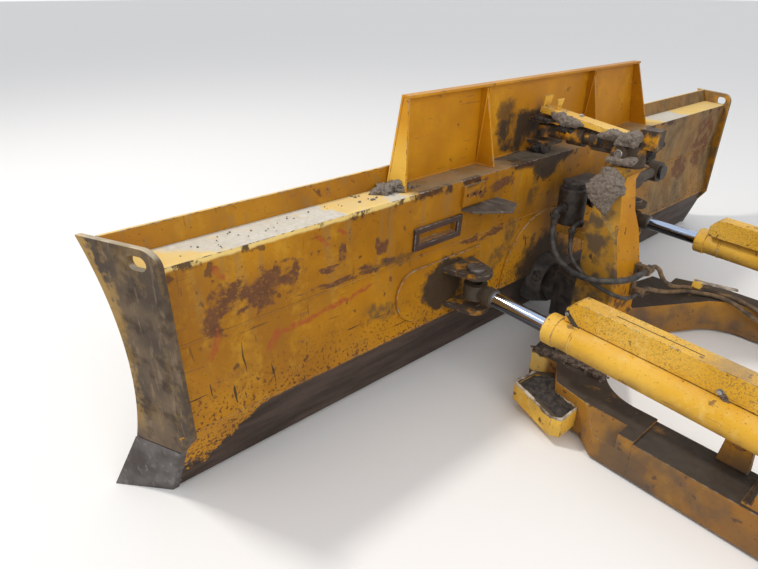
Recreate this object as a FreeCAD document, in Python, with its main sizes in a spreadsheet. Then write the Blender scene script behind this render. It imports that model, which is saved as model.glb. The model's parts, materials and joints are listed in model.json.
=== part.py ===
import FreeCAD, Part
import math
import os
import re

import Sketcher

# A bulldozer's blade with its push frame: a straight power-angle, power-tilt blade
# on a horseshoe frame, with tower, top link, tilt cylinder and two angle cylinders.
# Every outline is drawn in the blade's own frame: x forward from the back of the
# cutting edge's foot, y to the machine's left, z up from the ground. The finished
# pieces are then shifted so that the origin is the middle of the rear pivot axis.

V = FreeCAD.Vector
doc = FreeCAD.newDocument("bulldozer_blade")
sheet = doc.addObject("Spreadsheet::Sheet", "Size")

# Driving dimensions: (name, millimetres, degrees or plain ratio)
SIZES = [
    # rear pivots
    ("pivot_reach", 2350), ("pivot_height", 420), ("pivot_bore", 40), ("pivot_eye", 75),
    ("eye_front", 10), ("eye_more", 0.7),
    # blade section
    ("blade_half", 1840), ("flare_ratio", 0.45), ("flare_start", 70), ("lip_height", 893),
    ("face_radius", 1500), ("face_dip", 4.3), ("face_axis_z", 347.3), ("face_plate", 12),
    ("back_top_x", 77), ("back_top_z", 827), ("crease_x", 55), ("crease_z", 560), ("skirt_x", 84),
    ("skirt_z", 265), ("skirt_foot", 14),
    # cutting edge and ends
    ("edge_thick", 26), ("edge_height", 190), ("edge_centre_half", 930), ("edge_gap", 1),
    ("edge_past", 200), ("end_thick", 20), ("end_front", 152), ("end_back", 112), ("end_top", 893),
    ("end_radius", 1020), ("end_corner", 50), ("end_foot_front", 112), ("end_foot_back", 60),
    ("hole_x", 45), ("hole_z", 848), ("hole_wide", 20), ("hole_long", 22), ("bit_flare", 192),
    ("bit_front", 160), ("bit_back", 6), ("bit_thick", 22),
    # spill guard
    ("guard_x", 70), ("guard_thick", 10), ("guard_top", 1150), ("guard_half_foot", 900),
    ("guard_half_top", 826), ("guard_fold", 42), ("rib_thick", 10), ("rib_foot", 95), ("rib_head", 26),
    ("rib_inner", 400),
    # angle cylinder clevises on the blade
    ("clevis_back", 180), ("clevis_y", 632), ("clevis_z", 397), ("clevis_gap", 132),
    ("cheek_thick", 22), ("cheek_round", 65), ("cheek_base", 110), ("pin_radius", 27), ("pin_head", 38),
    ("pin_head_thick", 14), ("doubler_thick", 12), ("doubler_round", 107), ("doubler_reach", 234),
    ("doubler_inner", 150), ("doubler_up", 12),
    # centre ball and its seats
    ("ball_back", 185), ("ball_z", 210), ("ball_radius", 90), ("seat_gap", 0.3), ("socket_back", 150),
    ("socket_rim", 105), ("socket_foot", 130), ("centre_round", 350), ("nose_front", 213),
    ("nose_half", 97), ("nose_low", 92), ("nose_high", 322),
    # swivel drum and tilt cylinder
    ("drum_radius", 62), ("drum_low", 532), ("drum_high", 700), ("drum_cap", 22),
    ("drum_bore_deep", 70), ("drum_edge", 8), ("drum_floor", 5), ("lug_thick", 32), ("lug_round", 72),
    ("drum_pin", 30), ("run_gap", 0.05), ("tilt_out", 125), ("tilt_z", 620), ("tilt_ear_gap", 60),
    ("tilt_ear", 18), ("tilt_ear_round", 38), ("tilt_face", 54), ("tilt_pin", 22), ("tilt_barrel", 50),
    ("tilt_rod", 25), ("tilt_length", 665), ("tilt_barrel_end", 440), ("stud_boss", 68),
    ("stud_base", 150), ("stud_pin", 24), ("stud_end", 222), ("stud_washer", 38), ("eye_slack", 5),
    ("stud_washer_thick", 10), ("tilt_gland", 40), ("tilt_wall", 10), ("tilt_end_wall", 20),
    ("tilt_rod_in", 110), ("tilt_rod_out", 45), ("tilt_eye_wall", 24), ("tilt_eye_wide", 56),
    ("tilt_pin_proud", 8), ("tilt_eye_clear", 2), ("tilt_eye_less", 5), ("cap_inset", 10),
    ("cap_edge", 6),
    # push frame
    ("deck", 168), ("frame_low", 12), ("frame_front", 330), ("front_half", 125), ("arm_inner", 540),
    ("arm_outer", 712), ("arm_drop", 10), ("arm_joint", 950), ("bend_clear", 10), ("corner_x", 410),
    ("corner_y", 515), ("step_back_x", 530), ("flank_x", 600), ("flank_y", 625), ("heel_x", 742),
    ("heel_y", 652), ("arm_start", 815), ("bay_x", 690), ("bay_y", 425), ("bay_round", 200),
    ("bay_end", 880), ("slope_long", 155), ("slope_deep", 66), ("corner_rise", 5), ("pad_nose", 8),
    ("pad_nose_in", 55), ("pad_bevel", 34), ("pad_bevel_in", 20), ("pad_low", 40), ("well_a", 16),
    ("well_b", 46), ("well_c", 22), ("well_d", 40), ("well_e", 14), ("well_f", 26), ("well_g", 24),
    ("well_h", 34), ("well_i", 35), ("well_j", 8), ("pad_top", 120), ("pad_wall", 12),
    ("pad_front", 462), ("pad_side", 690), ("pad_heel", 712), ("pad_out", 764), ("lift_ahead", 160),
    ("lift_z", 250), ("lift_round", 40), ("lift_foot", 48), ("lift_bore", 20), ("lift_thick", 32),
    # tower
    ("tower_back", 505), ("tower_half", 118), ("tower_top", 845), ("neck_half", 62),
    # angle cylinders
    ("cylinder_drop", 45), ("cylinder_run", 1180), ("barrel_radius", 55), ("barrel_bore", 45),
    ("gland_radius", 60), ("gland_face", 355), ("gland_long", 46), ("gland_depth", 75),
    ("barrel_clear", 16), ("barrel_cap", 16), ("barrel_rim", 12), ("ring_at", 462), ("rod_radius", 30),
    ("rod_tail", 705), ("collar_radius", 38), ("collar_end", 100), ("eye_radius", 48), ("eye_tall", 64),
    ("eye_bore", 26), ("base_eye", 58), ("base_wide", 90), ("base_pin", 28), ("ear_thick", 23),
    ("ear_gap", 5), ("base_plate", 12), ("base_half", 80), ("ear_foot", 62), ("ear_round", 45),
    ("base_pin_proud", 8), ("base_neck", 14), ("neck_lap", 6), ("gland_edge", 4), ("ring_half", 5),
    ("ring_proud", 3), ("collar_taper", 30), ("rod_shoulder", 8), ("eye_inset", 12), ("cover_open", 20),
    ("cover_front", 410), ("cover_tail", 31), ("cover_top", 145), ("cover_chamfer", 35),
    ("cover_wide", 73), ("cover_sheet", 6), ("cover_lift", 0.3),
    # top link
    ("link_back", 420), ("link_joint", 330), ("link_z", 920), ("knuckle_radius", 50),
    ("knuckle_top", 930), ("tongue_half", 18), ("tongue_round", 40), ("link_pin", 16),
    ("link_radius", 28), ("link_collar", 40), ("link_eye", 36), ("link_bore", 14),
    ("link_eye_half", 25), ("fork_thick", 14), ("fork_gap", 6), ("fork_round", 28), ("clevis_boss", 8),
    ("clevis_boss_tall", 12), ("neck_start", 58), ("neck_fork_end", 96), ("neck_cone_end", 104),
    ("collar_from", 130), ("collar_to", 205), ("post_rear", 116), ("post_front", 226),
    ("underside_from", 50), ("underside_past", 60), ("link_gap", 84), ("link_cheek", 14),
    ("link_cheek_half", 56), ("head_back", 515), ("head_front", 440), ("head_top", 1000),
    ("boss_x", 388), ("boss_z", 898), ("boss_round", 34), ("boss_bore", 12), ("boss_out", 66),
    ("bar_z", 1016), ("bar_slope", 7.8), ("bar_thick", 8), ("bar_half", 31), ("bar_long", 410),
    ("bar_front", 18), ("bar_ear", 46), ("bar_lip", 16), ("bar_post", 12), ("bar_flange", 6),
    ("bar_ear_thick", 7), ("bar_ear_inset", 7), ("rear_ear_at", 62), ("rear_ear_foot", 12),
    ("rear_ear_top", 24), ("head_lap", 5),
    # small pieces on the blade's back
    ("frame_low_z", 595), ("frame_high_z", 690), ("frame_near", 880), ("frame_far", 620),
    ("frame_rim", 24), ("frame_stand", 14), ("recess_start", 20), ("recess_deep", 50), ("step_z", 700),
    ("step_thick", 10), ("step_near", 632), ("step_far", 398), ("step_reach", 150), ("step_corner", 30),
    ("step_cut", 20), ("step_nose", 70), ("step_nose_far", 90), ("bolt_plate_low", 722),
    ("bolt_plate_high", 806), ("bolt_plate_near", 632), ("bolt_plate_far", 508),
    ("bolt_plate_thick", 14), ("bolt_hole", 8), ("bolt_pitch", 38),
    # hoses and lines
    ("hose_thick", 27), ("hose_thin", 18), ("line_size", 20), ("clamp_back", 76), ("clamp_low", 262),
    ("clamp_high", 418), ("clamp_near", 45), ("clamp_far", 95), ("fitting_low", 590),
    ("fitting_high", 642), ("fitting_out", 148), ("fitting_half", 26), ("lug_fitting_back", 102),
    ("lug_fitting_front", 68), ("lug_fitting_in", 36), ("lug_fitting_out", 26),
    ("lug_fitting_tall", 54), ("hose_face", 0.3),
]
for row, (name, value) in enumerate(SIZES, start=1):
    sheet.set(f"A{row}", name)
    sheet.set(f"B{row}", str(value))
    sheet.setAlias(f"B{row}", name)
doc.recompute()
NAMES = re.compile(r"\b(" + "|".join(name for name, _ in SIZES) + r")\b")


def sized(text):
    """The expression with each size's name pointing at its cell."""
    return NAMES.sub(r"Size.\1", text)


def number(text):
    """The present value of an expression, in millimetres or degrees."""
    value = sheet.evalExpression(sized(text))
    return float(getattr(value, "Value", value))


def shifted(piece, x="0", y="0", z="0"):
    """Place a piece that was drawn in the blade's frame, or about a point of it."""
    piece.setExpression("Placement.Base.x", sized(f"pivot_reach + {x}"))
    piece.setExpression("Placement.Base.y", sized(y))
    piece.setExpression("Placement.Base.z", sized(f"{z} - pivot_height"))


def new_body(label, x="0", y="0", z="0"):
    body = doc.addObject("PartDesign::Body", label)
    body.Label = label
    body.AllowCompound = True
    shifted(body, x, y, z)
    return body


def sketch(body, plane, offset="0"):
    """A sketch on one of the body's origin planes, moved along that plane's normal."""
    shape = body.newObject("Sketcher::SketchObject", "outline")
    support = [part for part in body.Origin.OriginFeatures if part.Role == plane + "_Plane"][0]
    shape.AttachmentSupport = [(support, "")]
    shape.MapMode = "FlatFace"
    shape.setExpression("AttachmentOffset.Base.z", sized(offset))
    return shape


def fix_along(shape, edge, end, across, text):
    """Hold one point of an edge across (0) or up (1) the sketch, at an expression."""
    value = number(text)
    if abs(value) < 1e-9:
        shape.addConstraint(Sketcher.Constraint("PointOnObject", edge, end, (-2, -1)[across]))
    else:
        kind = ("DistanceX", "DistanceY")[across]
        held = shape.addConstraint(Sketcher.Constraint(kind, -1, 1, edge, end, value))
        shape.setExpression(f"Constraints[{held}]", sized(text))


def fix(shape, edge, end, x, y):
    fix_along(shape, edge, end, 0, x)
    fix_along(shape, edge, end, 1, y)


def outline(shape, corners, arcs=None):
    """A closed outline through corners (x, y). arcs maps an edge's number to its
    radius and the side of its centre: 1 to the left of the way along, -1 to the right."""
    arcs = arcs or {}
    first = len(shape.Geometry)
    points = [V(number(x), number(y), 0) for x, y in corners]
    count = len(points)
    ends = []
    for i in range(count):
        start, stop = points[i], points[(i + 1) % count]
        if i in arcs:
            radius, side = number(arcs[i][0]), arcs[i][1]
            along = stop - start
            left = V(-along.y, along.x, 0).normalize()
            rise = math.sqrt(max(radius ** 2 - (along.Length / 2) ** 2, 0))
            centre = (start + stop) * 0.5 + left * rise * side
            low, high = (start, stop) if side > 0 else (stop, start)
            angles = [math.atan2(p.y - centre.y, p.x - centre.x) for p in (low, high)]
            circle = Part.Circle(centre, V(0, 0, 1), radius)
            shape.addGeometry(Part.ArcOfCircle(circle, angles[0], angles[1]))
            ends.append((1, 2) if side > 0 else (2, 1))
        else:
            shape.addGeometry(Part.LineSegment(start, stop))
            ends.append((1, 2))
    for i in range(count):
        after = (i + 1) % count
        joined = (first + i, ends[i][1], first + after, ends[after][0])
        shape.addConstraint(Sketcher.Constraint("Coincident", *joined))
    for i, (x, y) in enumerate(corners):
        fix(shape, first + i, ends[i][0], x, y)
    for i, (radius, side) in arcs.items():
        span = points[(i + 1) % count] - points[i]
        if span.Length < 1.9999 * number(radius):
            held = shape.addConstraint(Sketcher.Constraint("Radius", first + i, number(radius)))
            shape.setExpression(f"Constraints[{held}]", sized(radius))
        else:
            across = 0 if abs(span.y) > abs(span.x) else 1
            middle = f"(({corners[i][across]}) + ({corners[(i + 1) % count][across]})) / 2"
            fix_along(shape, first + i, 3, across, middle)
    return shape


def circle(shape, x, y, radius):
    edge = shape.addGeometry(Part.Circle(V(number(x), number(y), 0), V(0, 0, 1), number(radius)))
    fix(shape, edge, 3, x, y)
    held = shape.addConstraint(Sketcher.Constraint("Radius", edge, number(radius)))
    shape.setExpression(f"Constraints[{held}]", sized(radius))
    return shape


def pad(body, shape, length, both=True):
    feature = body.newObject("PartDesign::Pad", "pad")
    feature.Profile = shape
    feature.SideType = "Symmetric" if both else "One side"
    feature.setExpression("Length", sized(length))
    return feature


def pocket(body, shape, length):
    feature = body.newObject("PartDesign::Pocket", "cut")
    feature.Profile = shape
    feature.SideType = "Symmetric"
    feature.setExpression("Length", sized(length))
    return feature


def turned(body, shape, axis, cut=False):
    """Turn a half outline about the sketch's own horizontal or vertical axis."""
    feature = body.newObject("PartDesign::Groove" if cut else "PartDesign::Revolution", "turn")
    feature.Profile = shape
    feature.ReferenceAxis = (shape, [axis])
    feature.Angle = 360
    return feature


def loft(body, shapes):
    feature = body.newObject("PartDesign::AdditiveLoft", "loft")
    feature.Profile = shapes[0]
    feature.Sections = shapes[1:]
    feature.Ruled = True
    return feature


# Long reaches for cuts that go right through, and a span wider than the blade
FAR = "(2 * blade_half + 1000)"


def face_x(z, plate="0"):
    """Where the curved face, or a surface that much behind it, is at height z."""
    return f"(face_radius + face_dip - sqrt((face_radius + {plate})^2 - (({z}) - face_axis_z)^2))"


def flare_y(x):
    """The inner side of the end plate at x."""
    return f"(blade_half + flare_ratio * (({x}) + flare_start))"


def trim_ends(body):
    """Cut a long blade piece to the flared planes of the two end plates."""
    shape = sketch(body, "XY")
    for side in ("", "-"):
        outline(shape, [(x, f"{side}({y})") for x, y in (
            ("-300", flare_y("-300")), ("400", flare_y("400")), ("400", FAR), ("-300", FAR))])
    pocket(body, shape, FAR)


def back_line(offset):
    """The blade's back outline from the top to the foot, that far behind the real one."""
    return [(f"-back_top_x - {offset}", "back_top_z"), (f"-crease_x - {offset}", "crease_z"),
            (f"-skirt_x - {offset}", "skirt_z"), (f"0 - {offset}", "0")]


def cut_front(body, offset="0"):
    """Fit a piece's front to the blade's back, or to a doubler of that thickness on it."""
    shape = sketch(body, "XZ")
    outline(shape, back_line(offset) + [("500", "0"), ("500", "back_top_z")])
    pocket(body, shape, FAR)


def cut_back(body, offset):
    """Leave only a skin of that thickness on the blade's back."""
    shape = sketch(body, "XZ")
    outline(shape, back_line(offset) + [("-600", "0"), ("-600", "back_top_z")])
    pocket(body, shape, FAR)


# Blade
# The curved face plate, from the foot to the lip
body = new_body("moldboard")
shape = outline(sketch(body, "XZ"), [
    (face_x("skirt_foot"), "skirt_foot"), (face_x("lip_height"), "lip_height"),
    (face_x("lip_height", "face_plate"), "lip_height"), (face_x("skirt_foot", "face_plate"), "skirt_foot")],
    {0: ("face_radius", -1), 2: ("face_radius + face_plate", 1)})
pad(body, shape, FAR)
trim_ends(body)

# Opening of the rimmed pocket in the upper box
RECESS = [
    ("frame_near - frame_rim", "frame_low_z + frame_rim"),
    ("frame_near - frame_rim", "frame_high_z - frame_rim"),
    ("frame_far + frame_rim", "frame_high_z - frame_rim"),
    ("frame_far + frame_rim", "frame_low_z + frame_rim"),
]

# The three box sections behind it: (name, lower corner, upper corner)
BACK = [
    ("skirt", ("0", "skirt_foot"), ("-skirt_x", "skirt_z")),
    ("lower_back_box", ("-skirt_x", "skirt_z"), ("-crease_x", "crease_z")),
    ("upper_back_box", ("-crease_x", "crease_z"), ("-back_top_x", "back_top_z")),
]
for name, low, high in BACK:
    body = new_body(name)
    shape = outline(sketch(body, "XZ"), [
        low, (face_x(low[1], "face_plate"), low[1]), (face_x(high[1], "face_plate"), high[1]), high],
        {1: ("face_radius + face_plate", -1)})
    pad(body, shape, FAR)
    trim_ends(body)
    if name == "upper_back_box":
        hole = outline(sketch(body, "YZ", "-back_top_x - recess_start"), RECESS)
        cut = body.newObject("PartDesign::Pocket", "cut")
        cut.Profile = hole
        cut.Reversed = True
        cut.setExpression("Length", sized("recess_deep + frame_stand"))

# Cutting edge in three lengths: (name, from, to), as shares of its three stretches
EDGES = [
    ("cutting_edge_left", "edge_centre_half + edge_gap", "blade_half + edge_past"),
    ("cutting_edge_centre", "-edge_centre_half", "edge_centre_half"),
    ("cutting_edge_right", "-blade_half - edge_past", "-edge_centre_half - edge_gap"),
]
for name, low, high in EDGES:
    body = new_body(name)
    shape = outline(sketch(body, "XZ", f"-({high})"), [
        (face_x("0"), "0"), (f"{face_x('0')} + edge_thick", "0"),
        (f"{face_x('edge_height')} + edge_thick", "edge_height"), (face_x("edge_height"), "edge_height")],
        {3: ("face_radius", 1)})
    pad(body, shape, f"({high}) - ({low})", both=False)
    trim_ends(body)

# End plates, flared outwards, with the shackle hole, and the end bits under them
for name, side in (("left", ""), ("right", "-")):
    body = new_body(name + "_end_plate")
    shape = outline(sketch(body, "XZ"), [
        ("-end_foot_back", "edge_height"), ("end_foot_front", "edge_height"), ("end_front", "end_top"),
        ("-end_back + end_corner", "end_top"), ("-end_back", "end_top - end_corner"),
        ("-end_back", "skirt_z")],
        {1: ("end_radius", -1), 3: ("end_corner", 1)})
    outline(shape, [
        ("-hole_x - hole_long / 2", "hole_z - hole_wide"),
        ("-hole_x + hole_long / 2", "hole_z - hole_wide"),
        ("-hole_x + hole_long / 2", "hole_z + hole_wide"),
        ("-hole_x - hole_long / 2", "hole_z + hole_wide")],
        {1: ("hole_wide", 1), 3: ("hole_wide", 1)})
    pad(body, shape, FAR)
    plan = outline(sketch(body, "XY"), [(x, f"{side}({y})") for x, y in (
        ("-300", f"-{FAR}"), ("400", f"-{FAR}"), ("400", flare_y("400")), ("-300", flare_y("-300")))])
    outline(plan, [(x, f"{side}({y})") for x, y in (
        ("-300", f"{flare_y('-300')} + end_thick"), ("400", f"{flare_y('400')} + end_thick"),
        ("400", FAR), ("-300", FAR))])
    pocket(body, plan, FAR)

    body = new_body(name + "_end_bit")
    rows = [
        # height, back x, back y, front x, front y
        ("edge_height", "-end_foot_back", flare_y("-end_foot_back"),
         "end_foot_front", flare_y("end_foot_front")),
        ("0", "bit_back", flare_y("bit_back"), "bit_front", "blade_half + bit_flare - bit_thick"),
    ]
    shapes = [outline(sketch(body, "XY", height), [
        (x0, f"{side}({y0})"), (x1, f"{side}({y1})"), (x1, f"{side}({y1} + bit_thick)"),
        (x0, f"{side}({y0} + bit_thick)")]) for height, x0, y0, x1, y1 in rows]
    loft(body, shapes)

# Spill guard: a plate with a folded top, and four gussets that stand on the top plate
body = new_body("spill_guard")
shape = outline(sketch(body, "YZ", "guard_x - guard_thick"), [
    ("-guard_half_foot", "back_top_z"), ("guard_half_foot", "back_top_z"),
    ("guard_half_top", "guard_top"), ("-guard_half_top", "guard_top")])
pad(body, shape, "guard_thick", both=False)
shape = outline(sketch(body, "XZ"), [
    ("guard_x - guard_thick", "guard_top"), ("guard_x - guard_fold", "guard_top"),
    ("guard_x - guard_fold", "guard_top - guard_thick"),
    ("guard_x - guard_thick", "guard_top - guard_thick")])
pad(body, shape, "2 * guard_half_top")
body = new_body("spill_guard_gussets")
RIBS = [
    # y at the foot, y at the head
    ("guard_half_foot", "guard_half_top"), ("rib_inner", "rib_inner"),
    ("-rib_inner", "-rib_inner"), ("-guard_half_foot", "-guard_half_top")]
for foot, head in RIBS:
    inward = "-" if foot[0] != "-" else "+"
    sections = []
    ends = (("back_top_z", foot, "rib_foot"), ("guard_top - guard_thick", head, "rib_head"))
    for height, y, depth in ends:
        back = f"guard_x - guard_thick - {depth}"
        sections.append(outline(sketch(body, "XY", height), [
            ("guard_x - guard_thick", y), (back, y), (back, f"{y} {inward} rib_thick"),
            ("guard_x - guard_thick", f"{y} {inward} rib_thick")]))
    loft(body, sections)

# Clevises for the angle cylinders, with their pins' ends and the doublers under them
body = new_body("clevis_doublers")
shape = sketch(body, "YZ", "-300")
for side in ("", "-"):
    turn = 1 if side == "" else -1
    outline(shape, [
        (f"{side}(clevis_y - doubler_inner)", "clevis_z + doubler_up - doubler_round"),
        (f"{side}(clevis_y + doubler_reach)", "clevis_z + doubler_up - doubler_round"),
        (f"{side}(clevis_y + doubler_reach)", "clevis_z + doubler_up + doubler_round"),
        (f"{side}(clevis_y - doubler_inner)", "clevis_z + doubler_up + doubler_round")],
        {1: ("doubler_round", turn)})
pad(body, shape, "400", both=False)
cut_front(body)
cut_back(body, "doubler_thick")
for name, side in (("left", ""), ("right", "-")):
    turn = 1 if side == "" else -1
    body = new_body(name + "_clevis")
    for height in ("clevis_z + clevis_gap / 2", "clevis_z - clevis_gap / 2 - cheek_thick"):
        shape = outline(sketch(body, "XY", height), [
            ("0", f"{side}clevis_y + cheek_base"), ("-clevis_back", f"{side}clevis_y + cheek_round"),
            ("-clevis_back", f"{side}clevis_y - cheek_round"), ("0", f"{side}clevis_y - cheek_base")],
            {1: ("cheek_round", 1)})
        circle(shape, "-clevis_back", f"{side}clevis_y", "pin_radius")
        pad(body, shape, "cheek_thick", both=False)
    cut_front(body, "doubler_thick")
    body = new_body(name + "_blade_pin", "-clevis_back", f"{side}clevis_y", "clevis_z")
    for sign in ("", "-"):
        shape = outline(sketch(body, "XZ"), [
            ("0", f"{sign}(clevis_gap / 2)"), ("pin_radius - run_gap", f"{sign}(clevis_gap / 2)"),
            ("pin_radius - run_gap", f"{sign}(clevis_gap / 2 + cheek_thick)"),
            ("pin_head", f"{sign}(clevis_gap / 2 + cheek_thick)"),
            ("pin_head", f"{sign}(clevis_gap / 2 + cheek_thick + pin_head_thick)"),
            ("0", f"{sign}(clevis_gap / 2 + cheek_thick + pin_head_thick)")])
        turned(body, shape, "V_Axis")

# Centre doubler and the blade's half of the ball seat
body = new_body("centre_doubler")
shape = sketch(body, "YZ", "-300")
circle(shape, "0", "ball_z", "centre_round")
circle(shape, "0", "ball_z", "socket_foot + 1")
pad(body, shape, "400", both=False)
shape = outline(sketch(body, "XZ"), [
    ("-500", "-500"), ("500", "-500"), ("500", "skirt_z"), ("-500", "skirt_z")])
outline(shape, [("-500", "crease_z"), ("500", "crease_z"), ("500", "1200"), ("-500", "1200")])
pocket(body, shape, FAR)
cut_front(body)
cut_back(body, "doubler_thick")
body = new_body("blade_socket")
shape = outline(sketch(body, "XY", "ball_z"), [
    ("-socket_back", "0"), ("-socket_back", "socket_rim"), ("-skirt_x", "socket_foot"),
    ("0", "socket_foot"), ("0", "0")])
turned(body, shape, "H_Axis")
shape = outline(sketch(body, "XY", "ball_z"), [
    ("-ball_back - ball_radius - seat_gap", "0"), ("-ball_back + ball_radius + seat_gap", "0")],
    {1: ("ball_radius + seat_gap", 1)})
turned(body, shape, "H_Axis", cut=True)
cut_front(body)

# Clevis for the top link: two cheeks on the spill guard's back, with the pin's two ends
body = new_body("top_link_clevis")
inner_low = "link_z - link_gap / 2"
inner_high = "link_z + link_gap / 2"
shape = outline(sketch(body, "XZ"), [
    ("0", "back_top_z"), ("guard_x - guard_thick", "back_top_z"), ("guard_x - guard_thick", inner_low),
    ("-link_cheek_half", inner_low), ("-link_cheek_half", f"{inner_low} - link_cheek"),
    ("0", f"{inner_low} - link_cheek")])
pad(body, shape, "2 * link_cheek_half")
shape = outline(sketch(body, "XY", inner_high), [
    ("guard_x - guard_thick", "-link_cheek_half"), ("guard_x - guard_thick", "link_cheek_half"),
    ("0", "link_cheek_half"), ("0", "-link_cheek_half")], {2: ("link_cheek_half", 1)})
pad(body, shape, "link_cheek", both=False)
shape = circle(sketch(body, "XY", f"{inner_high} + link_cheek"), "0", "0", "link_bore + clevis_boss")
pad(body, shape, "clevis_boss_tall", both=False)

# Small pieces on the back: a rimmed pocket, a step plate and a bolted plate
body = new_body("pocket_frame")
shape = outline(sketch(body, "YZ", "-300"), [
    ("frame_near", "frame_low_z"), ("frame_near", "frame_high_z"), ("frame_far", "frame_high_z"),
    ("frame_far", "frame_low_z")])
outline(shape, RECESS)
pad(body, shape, "400", both=False)
cut_front(body)
cut_back(body, "frame_stand")
body = new_body("step_plate")
shape = outline(sketch(body, "XY", "step_z"), [
    ("0", "step_far"), ("0", "step_near"), ("-step_reach + step_corner", "step_near - step_cut"),
    ("-step_reach - step_nose", "step_far + step_nose_far"), ("-step_reach - step_cut", "step_far")])
pad(body, shape, "step_thick", both=False)
cut_front(body)
body = new_body("bolt_plate")
shape = outline(sketch(body, "YZ", "-300"), [
    ("bolt_plate_near", "bolt_plate_low"), ("bolt_plate_near", "bolt_plate_high"),
    ("bolt_plate_far", "bolt_plate_high"), ("bolt_plate_far", "bolt_plate_low")])
for step in ("-bolt_pitch", "0", "bolt_pitch"):
    circle(shape, f"(bolt_plate_near + bolt_plate_far) / 2 + {step}",
           "(bolt_plate_low + bolt_plate_high) / 2", "bolt_hole")
pad(body, shape, "400", both=False)
cut_front(body)
cut_back(body, "bolt_plate_thick")

# Stud that takes the tilt cylinder's rod, at the right
body = new_body("tilt_stud", y="-tilt_out - tilt_length")
shape = outline(sketch(body, "XY", "tilt_z"), [
    ("-stud_end - stud_washer_thick", "0"), ("-stud_end - stud_washer_thick", "stud_washer"),
    ("-stud_end", "stud_washer"), ("-stud_end", "stud_pin"), ("-stud_base", "stud_pin"),
    ("-stud_base", "stud_boss"), ("0", "stud_boss"), ("0", "0")])
turned(body, shape, "H_Axis")
cut_front(body)

# Swivel
body = new_body("centre_ball", "-ball_back", z="ball_z")
shape = outline(sketch(body, "XZ"), [("0", "ball_radius"), ("0", "-ball_radius")], {1: ("ball_radius", 1)})
turned(body, shape, "V_Axis")
body = new_body("swivel_arm", "-ball_back")
shape = outline(sketch(body, "XZ"), [
    ("0", "drum_high - drum_bore_deep"), ("drum_pin - run_gap", "drum_high - drum_bore_deep"),
    ("drum_pin - run_gap", "drum_high + seat_gap"), ("drum_radius - cap_inset", "drum_high + seat_gap"),
    ("drum_radius - cap_inset", "drum_high + drum_cap"),
    ("drum_radius - cap_inset - cap_edge", "drum_high + drum_cap + cap_edge"),
    ("0", "drum_high + drum_cap + cap_edge")])
turned(body, shape, "V_Axis")
shape = outline(sketch(body, "XY", "drum_high + seat_gap"), [
    ("-tilt_ear_gap / 2 - tilt_ear", "0"), ("-tilt_ear_gap / 2 - tilt_ear", "-tilt_out - tilt_ear_round"),
    ("tilt_ear_gap / 2 + tilt_ear", "-tilt_out - tilt_ear_round"), ("tilt_ear_gap / 2 + tilt_ear", "0")])
pad(body, shape, "drum_cap - seat_gap", both=False)
for low, high in (("tilt_ear_gap / 2", "tilt_ear_gap / 2 + tilt_ear"),
                  ("-tilt_ear_gap / 2 - tilt_ear", "-tilt_ear_gap / 2")):
    shape = outline(sketch(body, "YZ", low), [
        ("tilt_ear_round - tilt_out", "tilt_z"), ("tilt_ear_round - tilt_out", "drum_high + seat_gap"),
        ("-tilt_ear_round - tilt_out", "drum_high + seat_gap"), ("-tilt_ear_round - tilt_out", "tilt_z")],
        {3: ("tilt_ear_round", 1)})
    pad(body, shape, f"({high}) - ({low})", both=False)
shape = circle(sketch(body, "YZ"), "-tilt_out", "tilt_z", "tilt_pin")
pad(body, shape, "tilt_ear_gap + 2 * tilt_ear + 2 * tilt_pin_proud")

# Tilt cylinder, drawn from its base pin towards the machine's right
body = new_body("tilt_barrel", "-ball_back", "-tilt_out", "tilt_z")
shape = outline(sketch(body, "XY"), [
    ("0", "-tilt_face"), ("tilt_barrel", "-tilt_face"), ("tilt_barrel", "-tilt_barrel_end"),
    ("tilt_rod + run_gap", "-tilt_barrel_end"), ("tilt_rod + run_gap", "-tilt_barrel_end + tilt_gland"),
    ("tilt_barrel - tilt_wall", "-tilt_barrel_end + tilt_gland"),
    ("tilt_barrel - tilt_wall", "-tilt_face - tilt_end_wall"), ("0", "-tilt_face - tilt_end_wall")])
turned(body, shape, "V_Axis")
shape = outline(sketch(body, "YZ"), [
    ("0", "tilt_ear_round - tilt_eye_less"), ("0", "tilt_eye_less - tilt_ear_round"),
    ("-tilt_face", "tilt_eye_less - tilt_ear_round"), ("-tilt_face", "tilt_ear_round - tilt_eye_less")],
    {0: ("tilt_ear_round - tilt_eye_less", -1)})
circle(shape, "0", "0", "tilt_pin + run_gap")
pad(body, shape, "tilt_ear_gap - 2 * tilt_eye_clear")
body = new_body("tilt_rod", "-ball_back", "-tilt_out", "tilt_z")
shape = outline(sketch(body, "XY"), [
    ("0", "-tilt_barrel_end + tilt_rod_in"), ("tilt_rod", "-tilt_barrel_end + tilt_rod_in"),
    ("tilt_rod", "-tilt_length + tilt_rod_out"), ("0", "-tilt_length + tilt_rod_out")])
turned(body, shape, "V_Axis")
shape = circle(sketch(body, "YZ"), "-tilt_length", "0", "stud_pin + eye_slack + tilt_eye_wall")
pad(body, shape, "tilt_eye_wide")
shape = circle(sketch(body, "YZ"), "-tilt_length", "0", "stud_pin + eye_slack")
pocket(body, shape, "4 * tilt_eye_wide")

# The arm bends upwards just behind the plate of the angle cylinder's bracket
BEND = "(clevis_back + cylinder_run + base_half + bend_clear)"
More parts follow.
